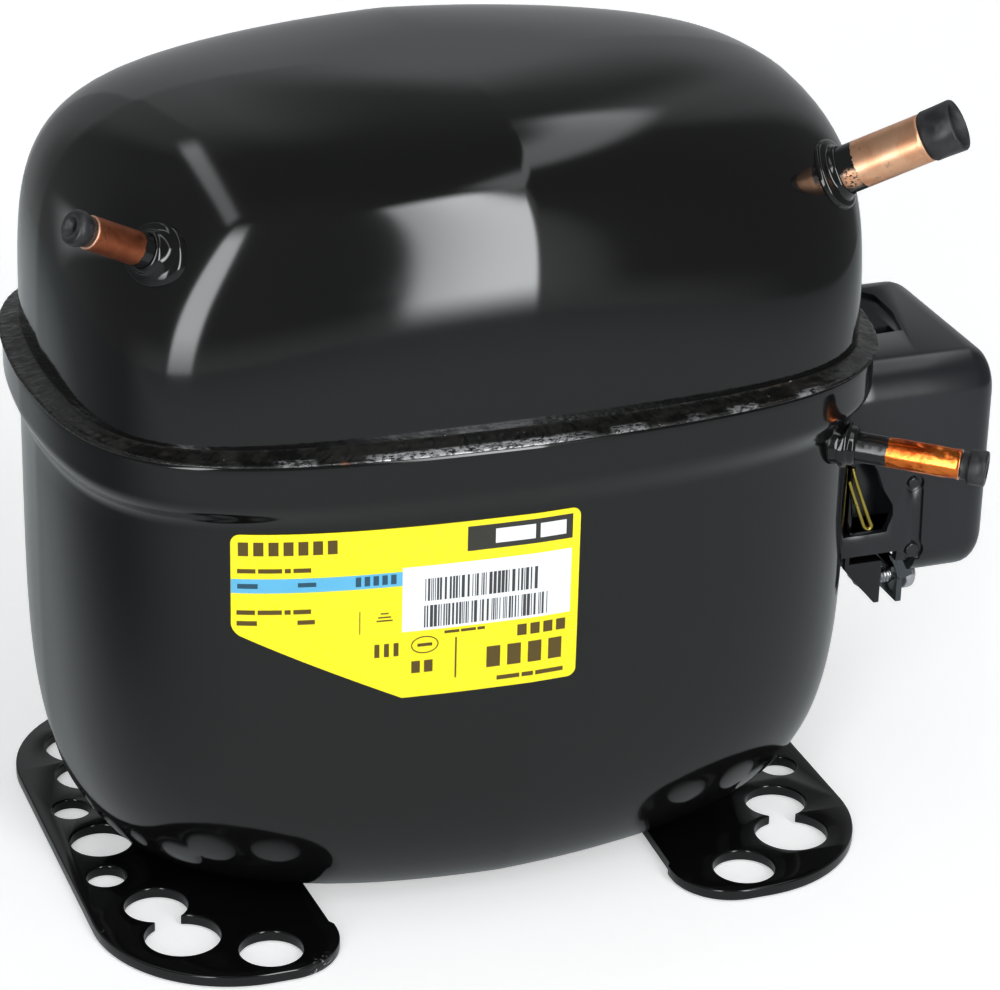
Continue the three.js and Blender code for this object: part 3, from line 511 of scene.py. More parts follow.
def mottled(name, dark, light, low, high, tone, gloss, grain, depth, metallic=0.0):
    """A finish between two colours and two roughnesses; tone, gloss and grain are its noises."""
    paint = Paint(name, light, low, metallic)
    paint.color(paint.mix(paint.noise(*tone), dark, light))
    paint.rough(paint.range(paint.noise(*gloss), low, high))
    paint.relief(paint.noise(*grain), depth)
    return paint


def finishes():
    black_paint("black_paint")
    plate = black_paint("plate_paint", 0.8, 1.6)
    bare = plate.math("MAXIMUM", plate.near((-52, -74, 1.4), 6), plate.near((-100.5, -43, 2), 2.4))
    scuff = plate.step(plate.noise(700, 5, 0.75, stretch=(1, 1, 2.2)), 0.54, 0.6)
    plate.over(plate.times(bare, scuff), (0.36, 0.36, 0.36))
    weld_finish()
    copper("copper_brown", (0.3, 0.085, 0.04), (0.42, 0.135, 0.062), 0.42, 0.52, 0.03)
    copper("copper_bright", (0.88, 0.43, 0.24), (1.0, 0.58, 0.36), 0.34, 0.44, 0.02)
    copper("copper_orange", (0.55, 0.09, 0.015), (0.92, 0.24, 0.045), 0.16, 0.32, 0.1)

    rubber = Paint("rubber", (0.016, 0.016, 0.017), 0.5)
    bloom = rubber.step(rubber.noise(240, 5, 0.6), 0.42, 0.72)
    rubber.color(rubber.mix(bloom, (0.012, 0.012, 0.013), (0.04, 0.04, 0.042)))
    rubber.rough(rubber.range(bloom, 0.36, 0.62))
    rubber.relief(rubber.noise(1500, 3), 0.02)

    plastic = Paint("black_plastic", (0.01, 0.011, 0.013), 0.2, IOR=1.5)
    tone = plastic.mix(plastic.noise(60, 3), (0.009, 0.01, 0.012), (0.012, 0.0132, 0.0155))
    plastic.color(tone)
    plastic.over(specks(plastic, 240, 0.07, 0.025), (0.12, 0.12, 0.12))
    plastic.rough(plastic.range(plastic.noise(90, 4, 0.6), 0.15, 0.25))
    plastic.relief(plastic.noise(2600, 2), 0.0025, plastic.bump(plastic.noise(34, 1), 0.03))

    metals = {
        "dark_steel": ((0.07, 0.08, 0.085), (0.15, 0.165, 0.17), 0.12, 0.24, (0.05, 0.05, 0.045)),
        "bright_steel": ((0.44, 0.44, 0.46), (0.66, 0.66, 0.68), 0.18, 0.36, (0.1, 0.07, 0.05)),
        "yellow_zinc": ((0.26, 0.18, 0.025), (0.66, 0.54, 0.14), 0.16, 0.34, (0.16, 0.06, 0.01)),
        "cast_iron": ((0.1, 0.1, 0.105), (0.22, 0.22, 0.225), 0.48, 0.72, (0.05, 0.04, 0.035)),
        "aluminium_alloy": ((0.52, 0.53, 0.55), (0.74, 0.75, 0.77), 0.3, 0.48, (0.2, 0.19, 0.18)),
        "bronze": ((0.46, 0.28, 0.1), (0.66, 0.46, 0.22), 0.26, 0.42, (0.14, 0.08, 0.03)),
    }
    for name, (dark, light, low, high, dirt) in metals.items():
        noises = (120, 5, 0.6), (340, 4, 0.6), (1100, 3, 0.6)
        depth = 0.06 if name == "cast_iron" else 0.012
        metal = mottled(name, dark, light, low, high, *noises, depth, 1.0)
        grime = metal.step(metal.noise(260, 4, 0.7), 0.62, 0.78)
        metal.over(metal.times(grime, 0.6), dirt)

    coil = Paint("winding", (0.34, 0.1, 0.035), 0.3, 0.75)
    strands = coil.add("ShaderNodeTexWave", wave_type="RINGS", rings_direction="Z")
    coil.feed(strands.inputs["Vector"], coil.place)
    strands.inputs["Scale"].default_value = 420
    strands.inputs["Distortion"].default_value = 1.5
    wire = strands.outputs["Fac"]
    coil.color(coil.mix(wire, (0.14, 0.04, 0.016), (0.46, 0.15, 0.055)))
    coil.rough(coil.range(coil.noise(200, 3), 0.22, 0.45))
    coil.relief(wire, 0.2)

    soft = (170, 5, 0.6), (300, 3), (1300, 3), 0.03
    mottled("white_plastic", (0.58, 0.56, 0.51), (0.74, 0.72, 0.67), 0.4, 0.6, *soft)
    mottled("gasket_sheet", (0.04, 0.06, 0.048), (0.085, 0.11, 0.09), 0.7, 0.9, *soft)

    # film and inks of the rating label
    inks = {
        "label_film": ((0.95, 0.8, 0.012), (0.98, 0.83, 0.014), 0.26),
        "label_dark": ((0.02, 0.018, 0.014), (0.03, 0.028, 0.022), 0.3),
        "label_brown": ((0.075, 0.045, 0.004), (0.105, 0.065, 0.007), 0.3),
        "label_blue": ((0.1, 0.42, 0.66), (0.13, 0.47, 0.72), 0.28),
        "label_ink_blue": ((0.012, 0.065, 0.11), (0.02, 0.08, 0.13), 0.3),
        "label_paper": ((0.8, 0.81, 0.84), (0.86, 0.87, 0.9), 0.38),
        "label_bars": ((0.028, 0.027, 0.028), (0.05, 0.048, 0.048), 0.4),
    }
    film = (90, 5, 0.6), (400, 4, 0.7), (900, 2), 0.006
    for name, (dark, light, rough) in inks.items():
        mottled(name, dark, light, rough - 0.05, rough + 0.08, *film)


finishes()


# -------- shells


def neck_rings():
    """Rim, the wide collar under the seam and the neck below it."""
    rim, body = RIM_PLAN, BODY_PLAN
    lip = [(0.0, -0.85), (0.08, -0.5), (0.25, -0.24), (0.55, -0.06), (1.0, 0.0)]
    rings = [ring(grown(rim, inset), SEAM_Z - down) for down, inset in lip]
    rings += [ring(rim, z) for z in (134.5, 131.5, 128.8)]
    drop = COLLAR_Z + 0.8 - BODY_Z
    for t in np.linspace(0, 1, 15):
        share = t * t * (3 - 2 * t)
        rings.append(ring(blended(rim, body, share), COLLAR_Z + 0.8 - t * drop))
    rings += [ring(body, z) for z in (114, 109, 105, STRAIGHT_Z)]
    return rings


def lower_shell():
    outside = neck_rings() + dome(BODY_PLAN, BOWL_POWERS, STRAIGHT_Z, BOTTOM_Z - STRAIGHT_Z, 56)
    inner_body = grown(BODY_PLAN, -WALL)
    inside = [
        ring(grown(CAP_PLAN, 0.35), SEAM_Z), ring(grown(CAP_PLAN, 0.35), SKIRT_Z - 0.35),
        ring(inner_body, SKIRT_Z - 6), ring(inner_body, STRAIGHT_Z),
    ]
    inside += dome(inner_body, BOWL_POWERS, STRAIGHT_Z, BOTTOM_Z + WALL - STRAIGHT_Z, 24)
    points, faces = loft(outside[::-1] + inside)
    shell = make("lower_shell_skin", points, faces, ["black_paint"])
    carve(shell, prism(circle(6, 90, 15.2, 64), 90, 112, 0))
    settle(shell)
    stand_in(shell, "lower_shell")


def upper_shell():
    outside = [ring(CAP_PLAN, z) for z in (SKIRT_Z, 131, SEAM_Z, SEAM_Z + 3)]
    outside += dome(CAP_PLAN, CAP_POWERS, SEAM_Z, TOP_Z - SEAM_Z, 60)[1:]
    inner = grown(CAP_PLAN, -WALL)
    inside = [ring(inner, z) for z in (SKIRT_Z, SEAM_Z)]
    inside += dome(inner, CAP_POWERS, SEAM_Z, TOP_Z - WALL - SEAM_Z, 24)
    points, faces = loft(outside[::-1] + inside)
    shell = make("upper_shell_skin", points, faces, ["black_paint"])
    stand_in(shell, "upper_shell")


def weld_seam():
    """Electric weld bead, with ripples, lumps, and flecks along its outer edge on the label side that
    are partly chipped paint and partly painted glints.
    """
    count = 1500
    angles = np.arange(count) * 2 * pi / count
    inner = grown(CAP_PLAN, 0.1)
    section = [
        (0.0, 0.0), (0.45, -0.05), (0.86, -0.05), (0.99, 0.1), (1.0, 0.35), (0.94, 0.65),
        (0.84, 0.82), (0.7, 0.9), (0.58, 1.0), (0.46, 1.2), (0.34, 1.4), (0.22, 1.55),
        (0.1, 1.75), (0.02, 1.95), (-0.02, 2.1),
    ]
    rings, edge, front = [], [], []
    for k, (share, rise) in enumerate(section):
        line = ring(blended(inner, BEAD_PLAN, share), SEAM_Z + rise, angles)
        shown = 1 if 2 < k < len(section) - 2 else 0.3
        for i, p in enumerate(line):
            lump = noise.fractal(Vector(p) * 0.55, 0.6, 2.1, 4) * 0.2
            ripple = noise.noise(Vector((p[0] * 1.5, p[1] * 1.5, k * 0.25))) * 0.12
            push = shown * (lump + ripple)
            out = Vector((p[0], p[1], 0)).normalized()
            line[i] = Vector(p) + out * push * 0.45 + Vector((0, 0, push * 0.55))
        rings.append(line)
        edge.append(np.full(count, 1.0 if 0.6 < share and rise > 0.2 else 0.0))
        x, y = line[:, 0], line[:, 1]
        # where the grey flecks go, on the outer edge of the label side: partly chipped paint, partly
        # painted glints
        bare = np.clip((x + 44) / 5, 0, 1) * np.clip((14 - x) / 14, 0, 1)
        glint_and_wear_bands = 0.45 * np.clip(np.sin(x * 0.31 + 1.1) * np.sin(x * 0.083 - 0.4) * 2.2, 0, 1)
        front.append((y < -40) * np.maximum(bare, glint_and_wear_bands * np.clip((80 - np.abs(x)) / 10, 0, 1)))
    points, faces = loft(rings, closed=True)
    bead = make("weld_seam_bead", points, faces, ["weld_bead"], sharp=80)
    label_points(bead, "edge", np.concatenate(edge))
    label_points(bead, "front", np.concatenate(front))
    stand_in(bead, "weld_seam")


lower_shell()
upper_shell()
weld_seam()


# -------- foot plates


def keyhole(x0, y0, r0, x1, y1, r1):
    """Outline of two overlapping holes."""
    gap = hypot(x1 - x0, y1 - y0)
    toward = atan2(y1 - y0, x1 - x0)
    half0 = acos((gap**2 + r0**2 - r1**2) / (2 * gap * r0))
    half1 = acos((gap**2 + r1**2 - r0**2) / (2 * gap * r1))
    first = circle(x0, y0, r0, 48, toward + half0, 2 * pi - 2 * half0)
    second = circle(x1, y1, r1, 48, toward + pi + half1, 2 * pi - 2 * half1)
    return np.vstack([first, second[1:-1]])


def plate_outline():
    """Plate with its inner edge drawn back to the bowl that it is welded to."""
    p = PLATE
    inner, end, small, large = p.inner, p.end, p.inner_radius, p.outer_radius
    right = pi / 2
    pieces = [
        circle(inner + small, -(end - small), small, 16, pi, right),
        circle(p.outer - large, -(end - large), large, 36, -right, right),
        circle(p.outer - large, end - large, large, 36, 0, right),
        circle(inner + small, end - small, small, 16, right, right),
    ]
    seat_share = (STRAIGHT_Z - p.top) / (STRAIGHT_Z - BOTTOM_Z)
    seat = rounded_in(grown(BODY_PLAN, 0.25), BOWL_POWERS, seat_share)
    angles = np.linspace(radians(60), radians(-60), 121)
    line = ring(seat, 0, angles)[:, :2]
    nick = np.array([(inner, 57.0), (inner + 0.9, 55.6)])
    return np.vstack([*pieces, nick, line[line[:, 0] > inner + 0.9], nick[::-1] * (1, -1)])


def foot_plate(side, node):
    holes = []
    for sign in (-1, 1):
        holes.append(circle(63.5, 63.5 * sign, 8))
        holes.append(keyhole(82.5, 50.8 * sign, 9.5, 85, 35 * sign, 8))
        holes.append(circle(93.4, 17.85 * sign, 5, 36))
    holes.append(circle(90, 0, 8))
    edge = 0.45
    curve = bpy.data.curves.new(node, "CURVE")
    curve.dimensions, curve.fill_mode = "2D", "BOTH"
    curve.extrude = ((PLATE.top - PLATE.bottom) / 2 - edge) / 1000
    curve.bevel_depth, curve.bevel_resolution, curve.offset = edge / 1000, 3, -edge / 1000
    for outline in [plate_outline(), *holes]:
        spline = curve.splines.new("POLY")
        count = len(outline)
        spline.points.add(count - 1)
        flat = np.hstack([outline * side / 1000, np.zeros((count, 1)), np.ones((count, 1))])
        spline.points.foreach_set("co", flat.ravel())
        spline.use_cyclic_u = True
    shape = new_object("shape", curve)
    evaluated = shape.evaluated_get(bpy.context.evaluated_depsgraph_get())
    mesh = bpy.data.meshes.new_from_object(evaluated)
    bpy.data.objects.remove(shape)
    middle = (PLATE.top + PLATE.bottom) / 2
    mesh.transform(Matrix.Translation(Vector((SHIFT[0], SHIFT[1], middle)) / 1000))
    mesh.materials.clear()
    mesh.materials.append(MATERIALS["plate_paint"])
    plate = new_object(node + "_pressing", mesh)
    settle(plate, 50, merge=True)
    stand_in(plate, node)


foot_plate(1, "foot_plate_right")
foot_plate(-1, "foot_plate_left")


# -------- ports


def port_matrix(port):
    heading, slope = radians(port.heading), radians(port.slope)
    level = cos(slope)
    ahead = Vector((level * cos(heading), level * sin(heading), sin(slope)))
    turn = Vector((0, 0, 1)).rotation_difference(ahead).to_matrix().to_4x4()
    return Matrix.Translation(port.base) @ turn


def outside_by(point):
    """How far a point lies outside the shell, measured in the plan."""
    x, y, z = point
    if z > SEAM_Z:
        plan = rounded_in(CAP_PLAN, CAP_POWERS, min((z - SEAM_Z) / (TOP_Z - SEAM_Z), 0.999))
    else:
        share = min(max((z - BODY_Z) / (COLLAR_Z + 0.8 - BODY_Z), 0), 1)
        plan = blended(BODY_PLAN, RIM_PLAN, share * share * (3 - 2 * share))
    return hypot(x, y) - float(reach(plan, atan2(y, x)))


def seated(points, heights, matrix):
    """Slides the foot of a collar along the tube until it follows the shell."""
    ahead = np.array(matrix.col[2][:3])
    moved = points.copy()
    for i, (point, height) in enumerate(zip(points, heights)):
        at_base = point - ahead * height
        low, high = -9.0, 9.0
        for _ in range(18):
            middle = (low + high) / 2
            low, high = (low, middle) if outside_by(at_base + ahead * middle) > 0 else (middle, high)
        share = min(max((2.9 - height) / 2.9, 0), 1)
        moved[i] = point + ahead * low * share
    return moved


# weld ring on the shell with a painted stub: radius beyond the tube's, and height on the shell
COLLARS = {
    "suction": [
        (0.1, -2), (3.0, -2), (3.0, 0.3), (2.8, 0.65), (2.3, 0.8), (1.5, 0.85), (1.0, 1.0),
        (0.75, 1.4), (0.6, 1.8), (0.35, 2.1), (0.2, 2.2), (0.1, 2.1),
    ],
    "process": [
        (0.1, -2), (3.5, -2), (3.5, 0.2), (3.3, 0.6), (2.9, 0.8), (2.3, 0.95), (1.7, 1.2),
        (1.2, 1.6), (0.95, 2.1), (0.8, 2.4), (0.45, 2.65), (0.2, 2.75), (0.1, 2.6),
    ],
    "discharge": [
        (0.1, -2), (1.5, -2), (1.5, 0.3), (1.3, 0.8), (1.3, 1.3), (1.9, 1.5), (2.0, 2.2),
        (1.8, 2.7), (1.3, 2.9), (1.1, 3.2), (1.1, 4.1), (0.8, 4.5), (0.4, 4.9), (0.1, 4.8),
    ],
}
# plugs: radius and height, first from the tube's end, then from the plug's own end
PLUGS = {
    "suction": (  # open cup with a thin flared wall
        [(0, -8), (4.55, -8), (4.95, -7.5), (4.95, 0), (6.1, 0.1), (6.3, 0.5), (6.35, 4)],
        [
            (6.5, -0.5), (6.25, -0.1), (5.8, 0), (5.4, -0.3), (5.1, -2.5), (4.6, -5), (3.7, -5.6),
            (0, -5.8),
        ],
    ),
    "process": (  # domed end with a dimple
        [
            (0, -8), (2.55, -8), (2.85, -7.6), (2.85, 0), (3.45, 0.05), (3.6, 0.4), (3.9, 1.6),
            (4.2, 2.4),
        ],
        [
            (4.2, -1.2), (3.9, -0.5), (3.3, -0.1), (2.7, 0), (2.3, -0.05), (1.9, -0.35), (1.75, -0.9),
            (1.3, -1.1), (0.95, -1.4), (0.85, -3), (0, -3.1),
        ],
    ),
    "discharge": (
        [
            (0, -8), (2.65, -8), (2.95, -7.6), (2.95, 0), (3.6, 0.1), (3.6, 1.4), (3.75, 1.7),
            (4.3, 1.9), (4.5, 2.3),
        ],
        [(4.5, -0.5), (4.3, -0.15), (3.9, 0), (2.6, 0), (2.2, -0.4), (2.0, -2.5), (0, -2.6)],
    ),
}


def ports():
    for name, port in PORTS.items():
        matrix, outer, bore, length = port_matrix(port), port.outer, port.bore, port.length
        profile = [(outer + r, h) for r, h in COLLARS[name]]
        points, faces, heights = turned(profile, matrix, 96)
        points = seated(points, heights, matrix)
        collar = make(f"{name}_weld_ring", points, faces, ["black_paint"], sharp=60)
        stand_in(collar, f"{name}_collar")

        profile = [(outer, h) for h in np.linspace(-6, length - 0.25, 46)]
        profile += [(outer - 0.12, length - 0.06), (outer - 0.3, length), (bore + 0.2, length)]
        profile += [(bore, h) for h in (length - 0.2, length - 8, 4, -6)]
        points, faces, heights = turned(profile, matrix, 96)
        if name == "discharge":  # pinched and dented by the transit clamp
            centre = np.array(port.base) + heights[:, None] * np.array(matrix.col[2][:3])
            for i, p in enumerate(points):
                dent = max(0.0, noise.noise(Vector(p) * 0.33 + Vector((4, 1, 9))) - 0.05) * 0.5
                dent *= 12 < heights[i] < length - 1
                points[i] = p + (centre[i] - p) / outer * dent
        tube = make(f"{name}_copper", points, faces, [port.finish], sharp=50)
        label_points(tube, "along", heights)
        label_points(tube, "paint_end", np.full(len(points), port.painted + 0.8))
        label_points(tube, "cut_edge", (heights > length - 0.12).astype(float))
        stand_in(tube, f"{name}_tube")

        inside, head = PLUGS[name]
        profile = [(r, length + 0.2 + h) for r, h in inside]
        profile += [(r, length + port.plug_length + h) for r, h in head]
        points, faces, _ = turned(profile, matrix, 96)
        plug = make(f"{name}_transit_plug", points, faces, ["rubber"], sharp=60)
        stand_in(plug, f"{name}_plug")


ports()


# -------- rating label


def on_body(x, z, lift):
    """Point on the label side of the lower shell, lifted off its surface."""
    x, z = np.asarray(x, float), np.asarray(z, float)
    u = np.clip((STRAIGHT_Z - z) / (STRAIGHT_Z - BOTTOM_Z), 0, 1)
    plan = rounded_in(grown(BODY_PLAN, lift), BOWL_POWERS, u)
    angle = np.arctan2(-70.0, x)
    for _ in range(14):
        angle = angle + (x - reach(plan, angle) * np.cos(angle)) / 80
    out = reach(plan, angle)
    return np.stack([out * np.cos(angle), out * np.sin(angle), z], -1)


class Print:
    """Film patches of the label, gathered into one mesh."""

    def __init__(self):
        self.points, self.faces, self.kinds, self.names = [], [], [], []

    def patch(self, ink, xs, low, high, level, thick=0.05, rows=4):
        """Closed film between two edges, given at each x."""
        if ink not in self.names:
            self.names.append(ink)
        xs = np.asarray(xs, float)
        low, high = np.broadcast_to(low, xs.shape), np.broadcast_to(high, xs.shape)
        shares = np.linspace(0, 1, rows)
        zs = low[None] + (high - low)[None] * shares[:, None]
        grid = np.broadcast_to(xs, zs.shape)
        top, under = on_body(grid, zs, level + thick), on_body(grid, zs, level - 0.02)
        start, count = len(self.points), len(xs)
        self.points += list(top.reshape(-1, 3)) + list(under.reshape(-1, 3))
        below = start + rows * count
        faces = skin(rows, count, wrap_columns=False, start=start)
        faces += [f[::-1] for f in skin(rows, count, wrap_columns=False, start=below)]
        rim = [start + c for c in range(count)]
        rim += [start + r * count + count - 1 for r in range(1, rows)]
        rim += [start + (rows - 1) * count + c for c in range(count - 2, -1, -1)]
        rim += [start + r * count for r in range(rows - 2, 0, -1)]
        for a, b in zip(rim, rim[1:] + rim[:1]):
            faces.append((b, a, a + rows * count, b + rows * count))
        self.faces += faces
        self.kinds += [self.names.index(ink)] * len(faces)

    def bar(self, ink, x0, x1, z0, z1, level):
        self.patch(ink, np.linspace(x0, x1, max(2, int((x1 - x0) / 3) + 2)), z0, z1, level, rows=2)

    def words(self, ink, x0, x1, z0, z1, level, lengths):
        """Plain blocks in place of writing, slimmer where it is small."""
        height = z1 - z0
        gap = 0.26 * height
        unit = (x1 - x0 - gap * (len(lengths) - 1)) / sum(lengths)
        inset = 0.1 * height if height > 3 else 0.27 * height
        at = x0
        for length in lengths:
            self.bar(ink, at, at + unit * length, z0 + inset, z1 - inset, level)
            at += unit * length + gap

    def oval(self, ink, x, z, across, up, line, level):
        xs = np.linspace(-across, across, 25)
        outer = up * np.sqrt(np.clip(1 - (xs / across) ** 2, 0.002, 1))
        inner = (up - line) * np.sqrt(np.clip(1 - (xs / (across - line)) ** 2, 0, 1))
        self.patch(ink, x + xs, z + inner, z + outer, level, rows=2)
        self.patch(ink, x + xs, z - outer, z - inner, level, rows=2)


def film_edges():
    """Where the label's film runs, with the low and high edge at each x."""
    left, right, top, bottom, corner_z, corner_x = -72.8, 10.9, 118.2, 72.9, 92.6, -33.0
    radius = 2.2
    ends = radius * (1 - np.cos(np.linspace(0, pi / 2, 8)))
    middle = np.arange(left + 4, right - 3, 2.2)
    xs = np.concatenate([left + ends, middle, (right - ends)[::-1], [corner_x]])
    xs = np.unique(np.round(xs, 4))
    into_corner = np.clip(radius - np.minimum(xs - left, right - xs), 0, None)
    rounding = radius - np.sqrt(np.clip(radius**2 - into_corner**2, 0, None))
    slanted = corner_z + (xs - left) / (corner_x - left) * (bottom - corner_z)
    return xs, np.maximum(slanted, bottom) + rounding, top - rounding


# blocks in place of writing: x and z ranges, and how long each block is against the others
WRITING = {
    "paper": [(-10.6, 7.2, 111.3, 116.0, "32")],
    "brown": [
        (-71.2, -48.7, 112.3, 116.7, "1111111"), (-71.4, -54.8, 107.6, 110.0, "3413"),
        (-71.6, -54.8, 96.7, 99.2, "3413"), (-71.6, -67.1, 93.8, 96.4, "1"),
        (-57.9, -53.9, 93.9, 96.4, "1"), (-39.8, -34.0, 84.0, 88.4, "111"),
        (-29.4, -25.8, 85.9, 87.7, "1"), (-30.8, -25.6, 79.0, 83.0, "11"),
        (-22.8, -12.8, 88.8, 90.4, "221"), (-4.6, 7.7, 85.9, 89.6, "1111"),
        (-12.2, 6.9, 78.0, 85.0, "1111"), (-9.5, 7.5, 74.3, 76.7, "425"),
    ],
    "ink_blue": [
        (-71.4, -66.9, 103.5, 106.2, "1"), (-57.8, -53.6, 103.8, 106.2, "1"),
        (-44.4, -34.7, 103.4, 106.5, "11111"),
    ],
}


def rating_label():
    sheet = Print()
    sheet.patch("film", *film_edges(), 0.12, thick=0.16, rows=24)
    flat = 0.28
    sheet.patch("dark", np.linspace(-17.5, 8.9, 14), 110.4, 116.8, flat, rows=4)
    sheet.patch("blue", np.linspace(-72.78, -33.2, 16), 103.0, 106.7, flat, rows=3)
    sheet.patch("paper", np.linspace(-33.2, 8.8, 20), 90.7, 107.7, flat, thick=0.09, rows=8)
    ink = flat + 0.05
    for name, rows in WRITING.items():
        for x0, x1, z0, z1, lengths in rows:
            sheet.words(name, x0, x1, z0, z1, ink, [int(digit) for digit in lengths])
    sheet.bar("brown", -43.45, -43.25, 91.1, 97.1, ink)
    for x0, x1, z in ((-39.4, -35.5, 94.0), (-39.0, -35.9, 94.9), (-38.4, -36.5, 95.9)):
        sheet.bar("brown", x0, x1, z, z + 0.35, ink)
    sheet.oval("brown", -27.6, 86.8, 3.4, 2.3, 0.28, ink)
    sheet.bar("brown", -20.1, -19.7, 77.0, 87.9, ink)

    stripes = random.Random(8)
    on_paper = flat + 0.08
    for x0, x1, z0, z1 in ((-27.7, 0.4, 98.4, 104.3), (-27.9, 3.1, 91.4, 97.2)):
        at = x0
        while at < x1:
            width = stripes.choice((0.2, 0.2, 0.34, 0.5, 0.75))
            sheet.patch("bars", [at, at + width], z0, z1, on_paper, rows=4)
            at += width + stripes.choice((0.2, 0.3, 0.45, 0.7))
    inks = ["label_" + name for name in sheet.names]
    label = make("rating_label_print", sheet.points, sheet.faces, inks, sheet.kinds, 60)
    stand_in(label, "rating_label")


rating_label()


# -------- terminal group


def box_ring(x, inset):
    b, steps = BOX, 10
    radius = max(b.corner - inset * 0.4, 2)
    low_y, high_y = b.near + inset + radius, b.far - inset - radius
    low_z, high_z = b.bottom + inset + radius, b.top - inset - radius
    corners = [(high_y, high_z, 0), (low_y, high_z, 1), (low_y, low_z, 2), (high_y, low_z, 3)]
    points = []
    for y, z, quarter in corners:
        for i in range(steps + 1):
            angle = (quarter + i / steps) * pi / 2
            points.append((x, y + radius * cos(angle), z + radius * sin(angle)))
    return np.array(points)


def shell_volume(plan_offset):
    """Solid of the shell and its seam, grown, to trim the cover against."""
    rings = [ring(grown(BODY_PLAN, plan_offset), z) for z in (40, 117.5)]
    rings += [ring(grown(BEAD_PLAN, plan_offset - 0.3), z) for z in (126.5, 142)]
    return make("tool", *loft(rings))


def terminal_cover():
    """Moulding open towards the shell, with a pocket in its top and a slot for the clip."""
    b = BOX
    near, top, wall, rounding, flat_end, foot = b.near, b.top, b.wall, 7.0, b.end - 7.0, b.bottom - 3
    turns = np.linspace(0, pi / 2, 9)[1:]
    outside = [box_ring(x, 0) for x in (b.start, 110, 125, flat_end)]
    inside = [box_ring(b.start - 1, wall), box_ring(flat_end - wall, wall)]
    for t in turns:
        x, inset = b.end - rounding * (1 - sin(t)), 1 - cos(t)
        outside.append(box_ring(x, rounding * inset))
        inside.append(box_ring(x - wall, wall + (rounding - wall) * inset))
    cover = make("terminal_cover_moulding", *loft(outside), ["black_plastic"])
    carve(cover, make("tool", *loft(inside)))
    pocket = np.array([(90, -5), (121, -5), (128, -4.6), (131, 8), (131.4, 20), (128, 24), (90, 24)])
    floor = np.vstack([pocket[:1] - (0, 2), (134, -7), (134, 26), (90, 26)])
    carve(cover, prism(floor, 116.8, top), operation="UNION")
    clip_slot = [
        (90, 75.6), (115.5, 75.6), (117.1, 80.3), (116.9, 83.3), (114, 88), (111.8, 94), (110, 96.5),
        (90, 96.5),
    ]
    groove = [(122.9, 66), (126.1, 66), (125.6, 87), (122.4, 87)]
    carve(
        cover,
        prism(pocket, 120.4, 130),
        block(90, 127.5, -3.4, 3.0, 118.2, 130),
        block(90, 124.8, near - 2, -7, foot, 66.5),
        block(120, 131.5, -22.8, -7, foot, 66.5),
        block(90, 119, near - 2, near + 6, 50, 69.6),
        prism(clip_slot, near - 2, near + 6, 1),
        prism(groove, near - 2, near + 1.1, 1),
        prism(circle(122.9, 88.5, 2.7, 40), near - 2, near + 1.3, 1),
        prism(circle(123.9, 68.9, 2.9, 40), near - 2, near + 1.3, 1),
        shell_volume(0.9),
    )
    soften(cover, 0.35, 2, 38)
    stand_in(cover, "terminal_cover")
    for x, z, radius in ((122.9, 88.5, 1.5), (123.9, 68.9, 1.9)):
        disc = circle(x, z, radius, 40)
        stud = soften(prism(disc, near + 0.5, near + 1.6, 1, "cover_stud", ["black_plastic"]), 0.3)
        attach(stud, "cover")


def terminal_bracket():
    b = BRACKET
    face, sheet, lip, near, shelf, low = b.face, b.sheet, b.lip, b.near, b.shelf, b.low
    size = (face, face + sheet, near, b.far, shelf - sheet, 116)
    plate = block(*size, "terminal_bracket_sheet", ["black_paint"])
    carve(
        plate,
        block(face - 1, face + sheet + 1, -12, 25, 71, 109),
        prism(circle(-17, 112, 2.2, 32), 100, 125, 0),
    )
    gusset = [(face, shelf), (face, shelf - sheet), (lip - sheet, low), (lip, low), (lip, shelf)]
    carve(
        plate,
        block(face, lip, near, -7, shelf - sheet, shelf),
        block(lip - sheet, lip, near, -7, low, shelf),
        prism(gusset, near, near + sheet, 1),
        operation="UNION",
    )
    carve(plate, prism(circle(CLAMP.y, CLAMP.z, 2.55, 32), 110, 125, 0))
    soften(plate, 0.3, 2)
    stand_in(plate, "terminal_bracket")


def screw(name, node, start, end, y, z, shank, head, head_length):
    """Threaded shank and a pan head with a slot, along X."""
    matrix = Matrix.Translation((0, y, z)) @ Matrix.Rotation(pi / 2, 4, "Y")
    pitch = 0.8
    profile = [(0, start), (shank - 0.5, start), (shank - 0.1, start + 0.5)]
    at = start + 0.5
    while at < end - pitch:
        root = at + pitch / 2
        profile += [(shank, at + 0.1), (shank - 0.38, root), (shank - 0.36, root + 0.08)]
        at += pitch
    profile += [
        (shank, end - 0.1), (head - 0.2, end), (head, end + 0.25), (head, end + head_length * 0.55),
        (head * 0.94, end + head_length * 0.78), (head * 0.8, end + head_length * 0.93),
        (head * 0.5, end + head_length), (0, end + head_length),
    ]
    points, faces, _ = turned(profile, matrix, 56)
    piece = make(name, points, faces, ["bright_steel"], sharp=28)
    top = end + head_length
    half = head * 0.7
    carve(piece, block(top - 1.2, top + 1, y - half, y + half, z - 0.5, z + 0.5))
    settle(piece, 28)
    stand_in(piece, node)


def cord_clamp():
    near, far = -22.5, -10.5
    plate = block(122.6, 124.2, near, far, 51.5, 62, "cord_clamp_plate", ["dark_steel"])
    tab = [(119.8, 65.6), (123.6, 66.4), (126.6, 59.6), (123.0, 58.2)]
    ear = block(120.6, 123, near, far, 60.6, 62)
    carve(plate, ear, prism(tab, -23.4, -22.2, 1), operation="UNION")
    carve(plate, prism(circle(CLAMP.y, CLAMP.z, 2.55, 32), 118, 128, 0))
    soften(plate, 0.25, 3)
    stand_in(plate, "cord_clamp")


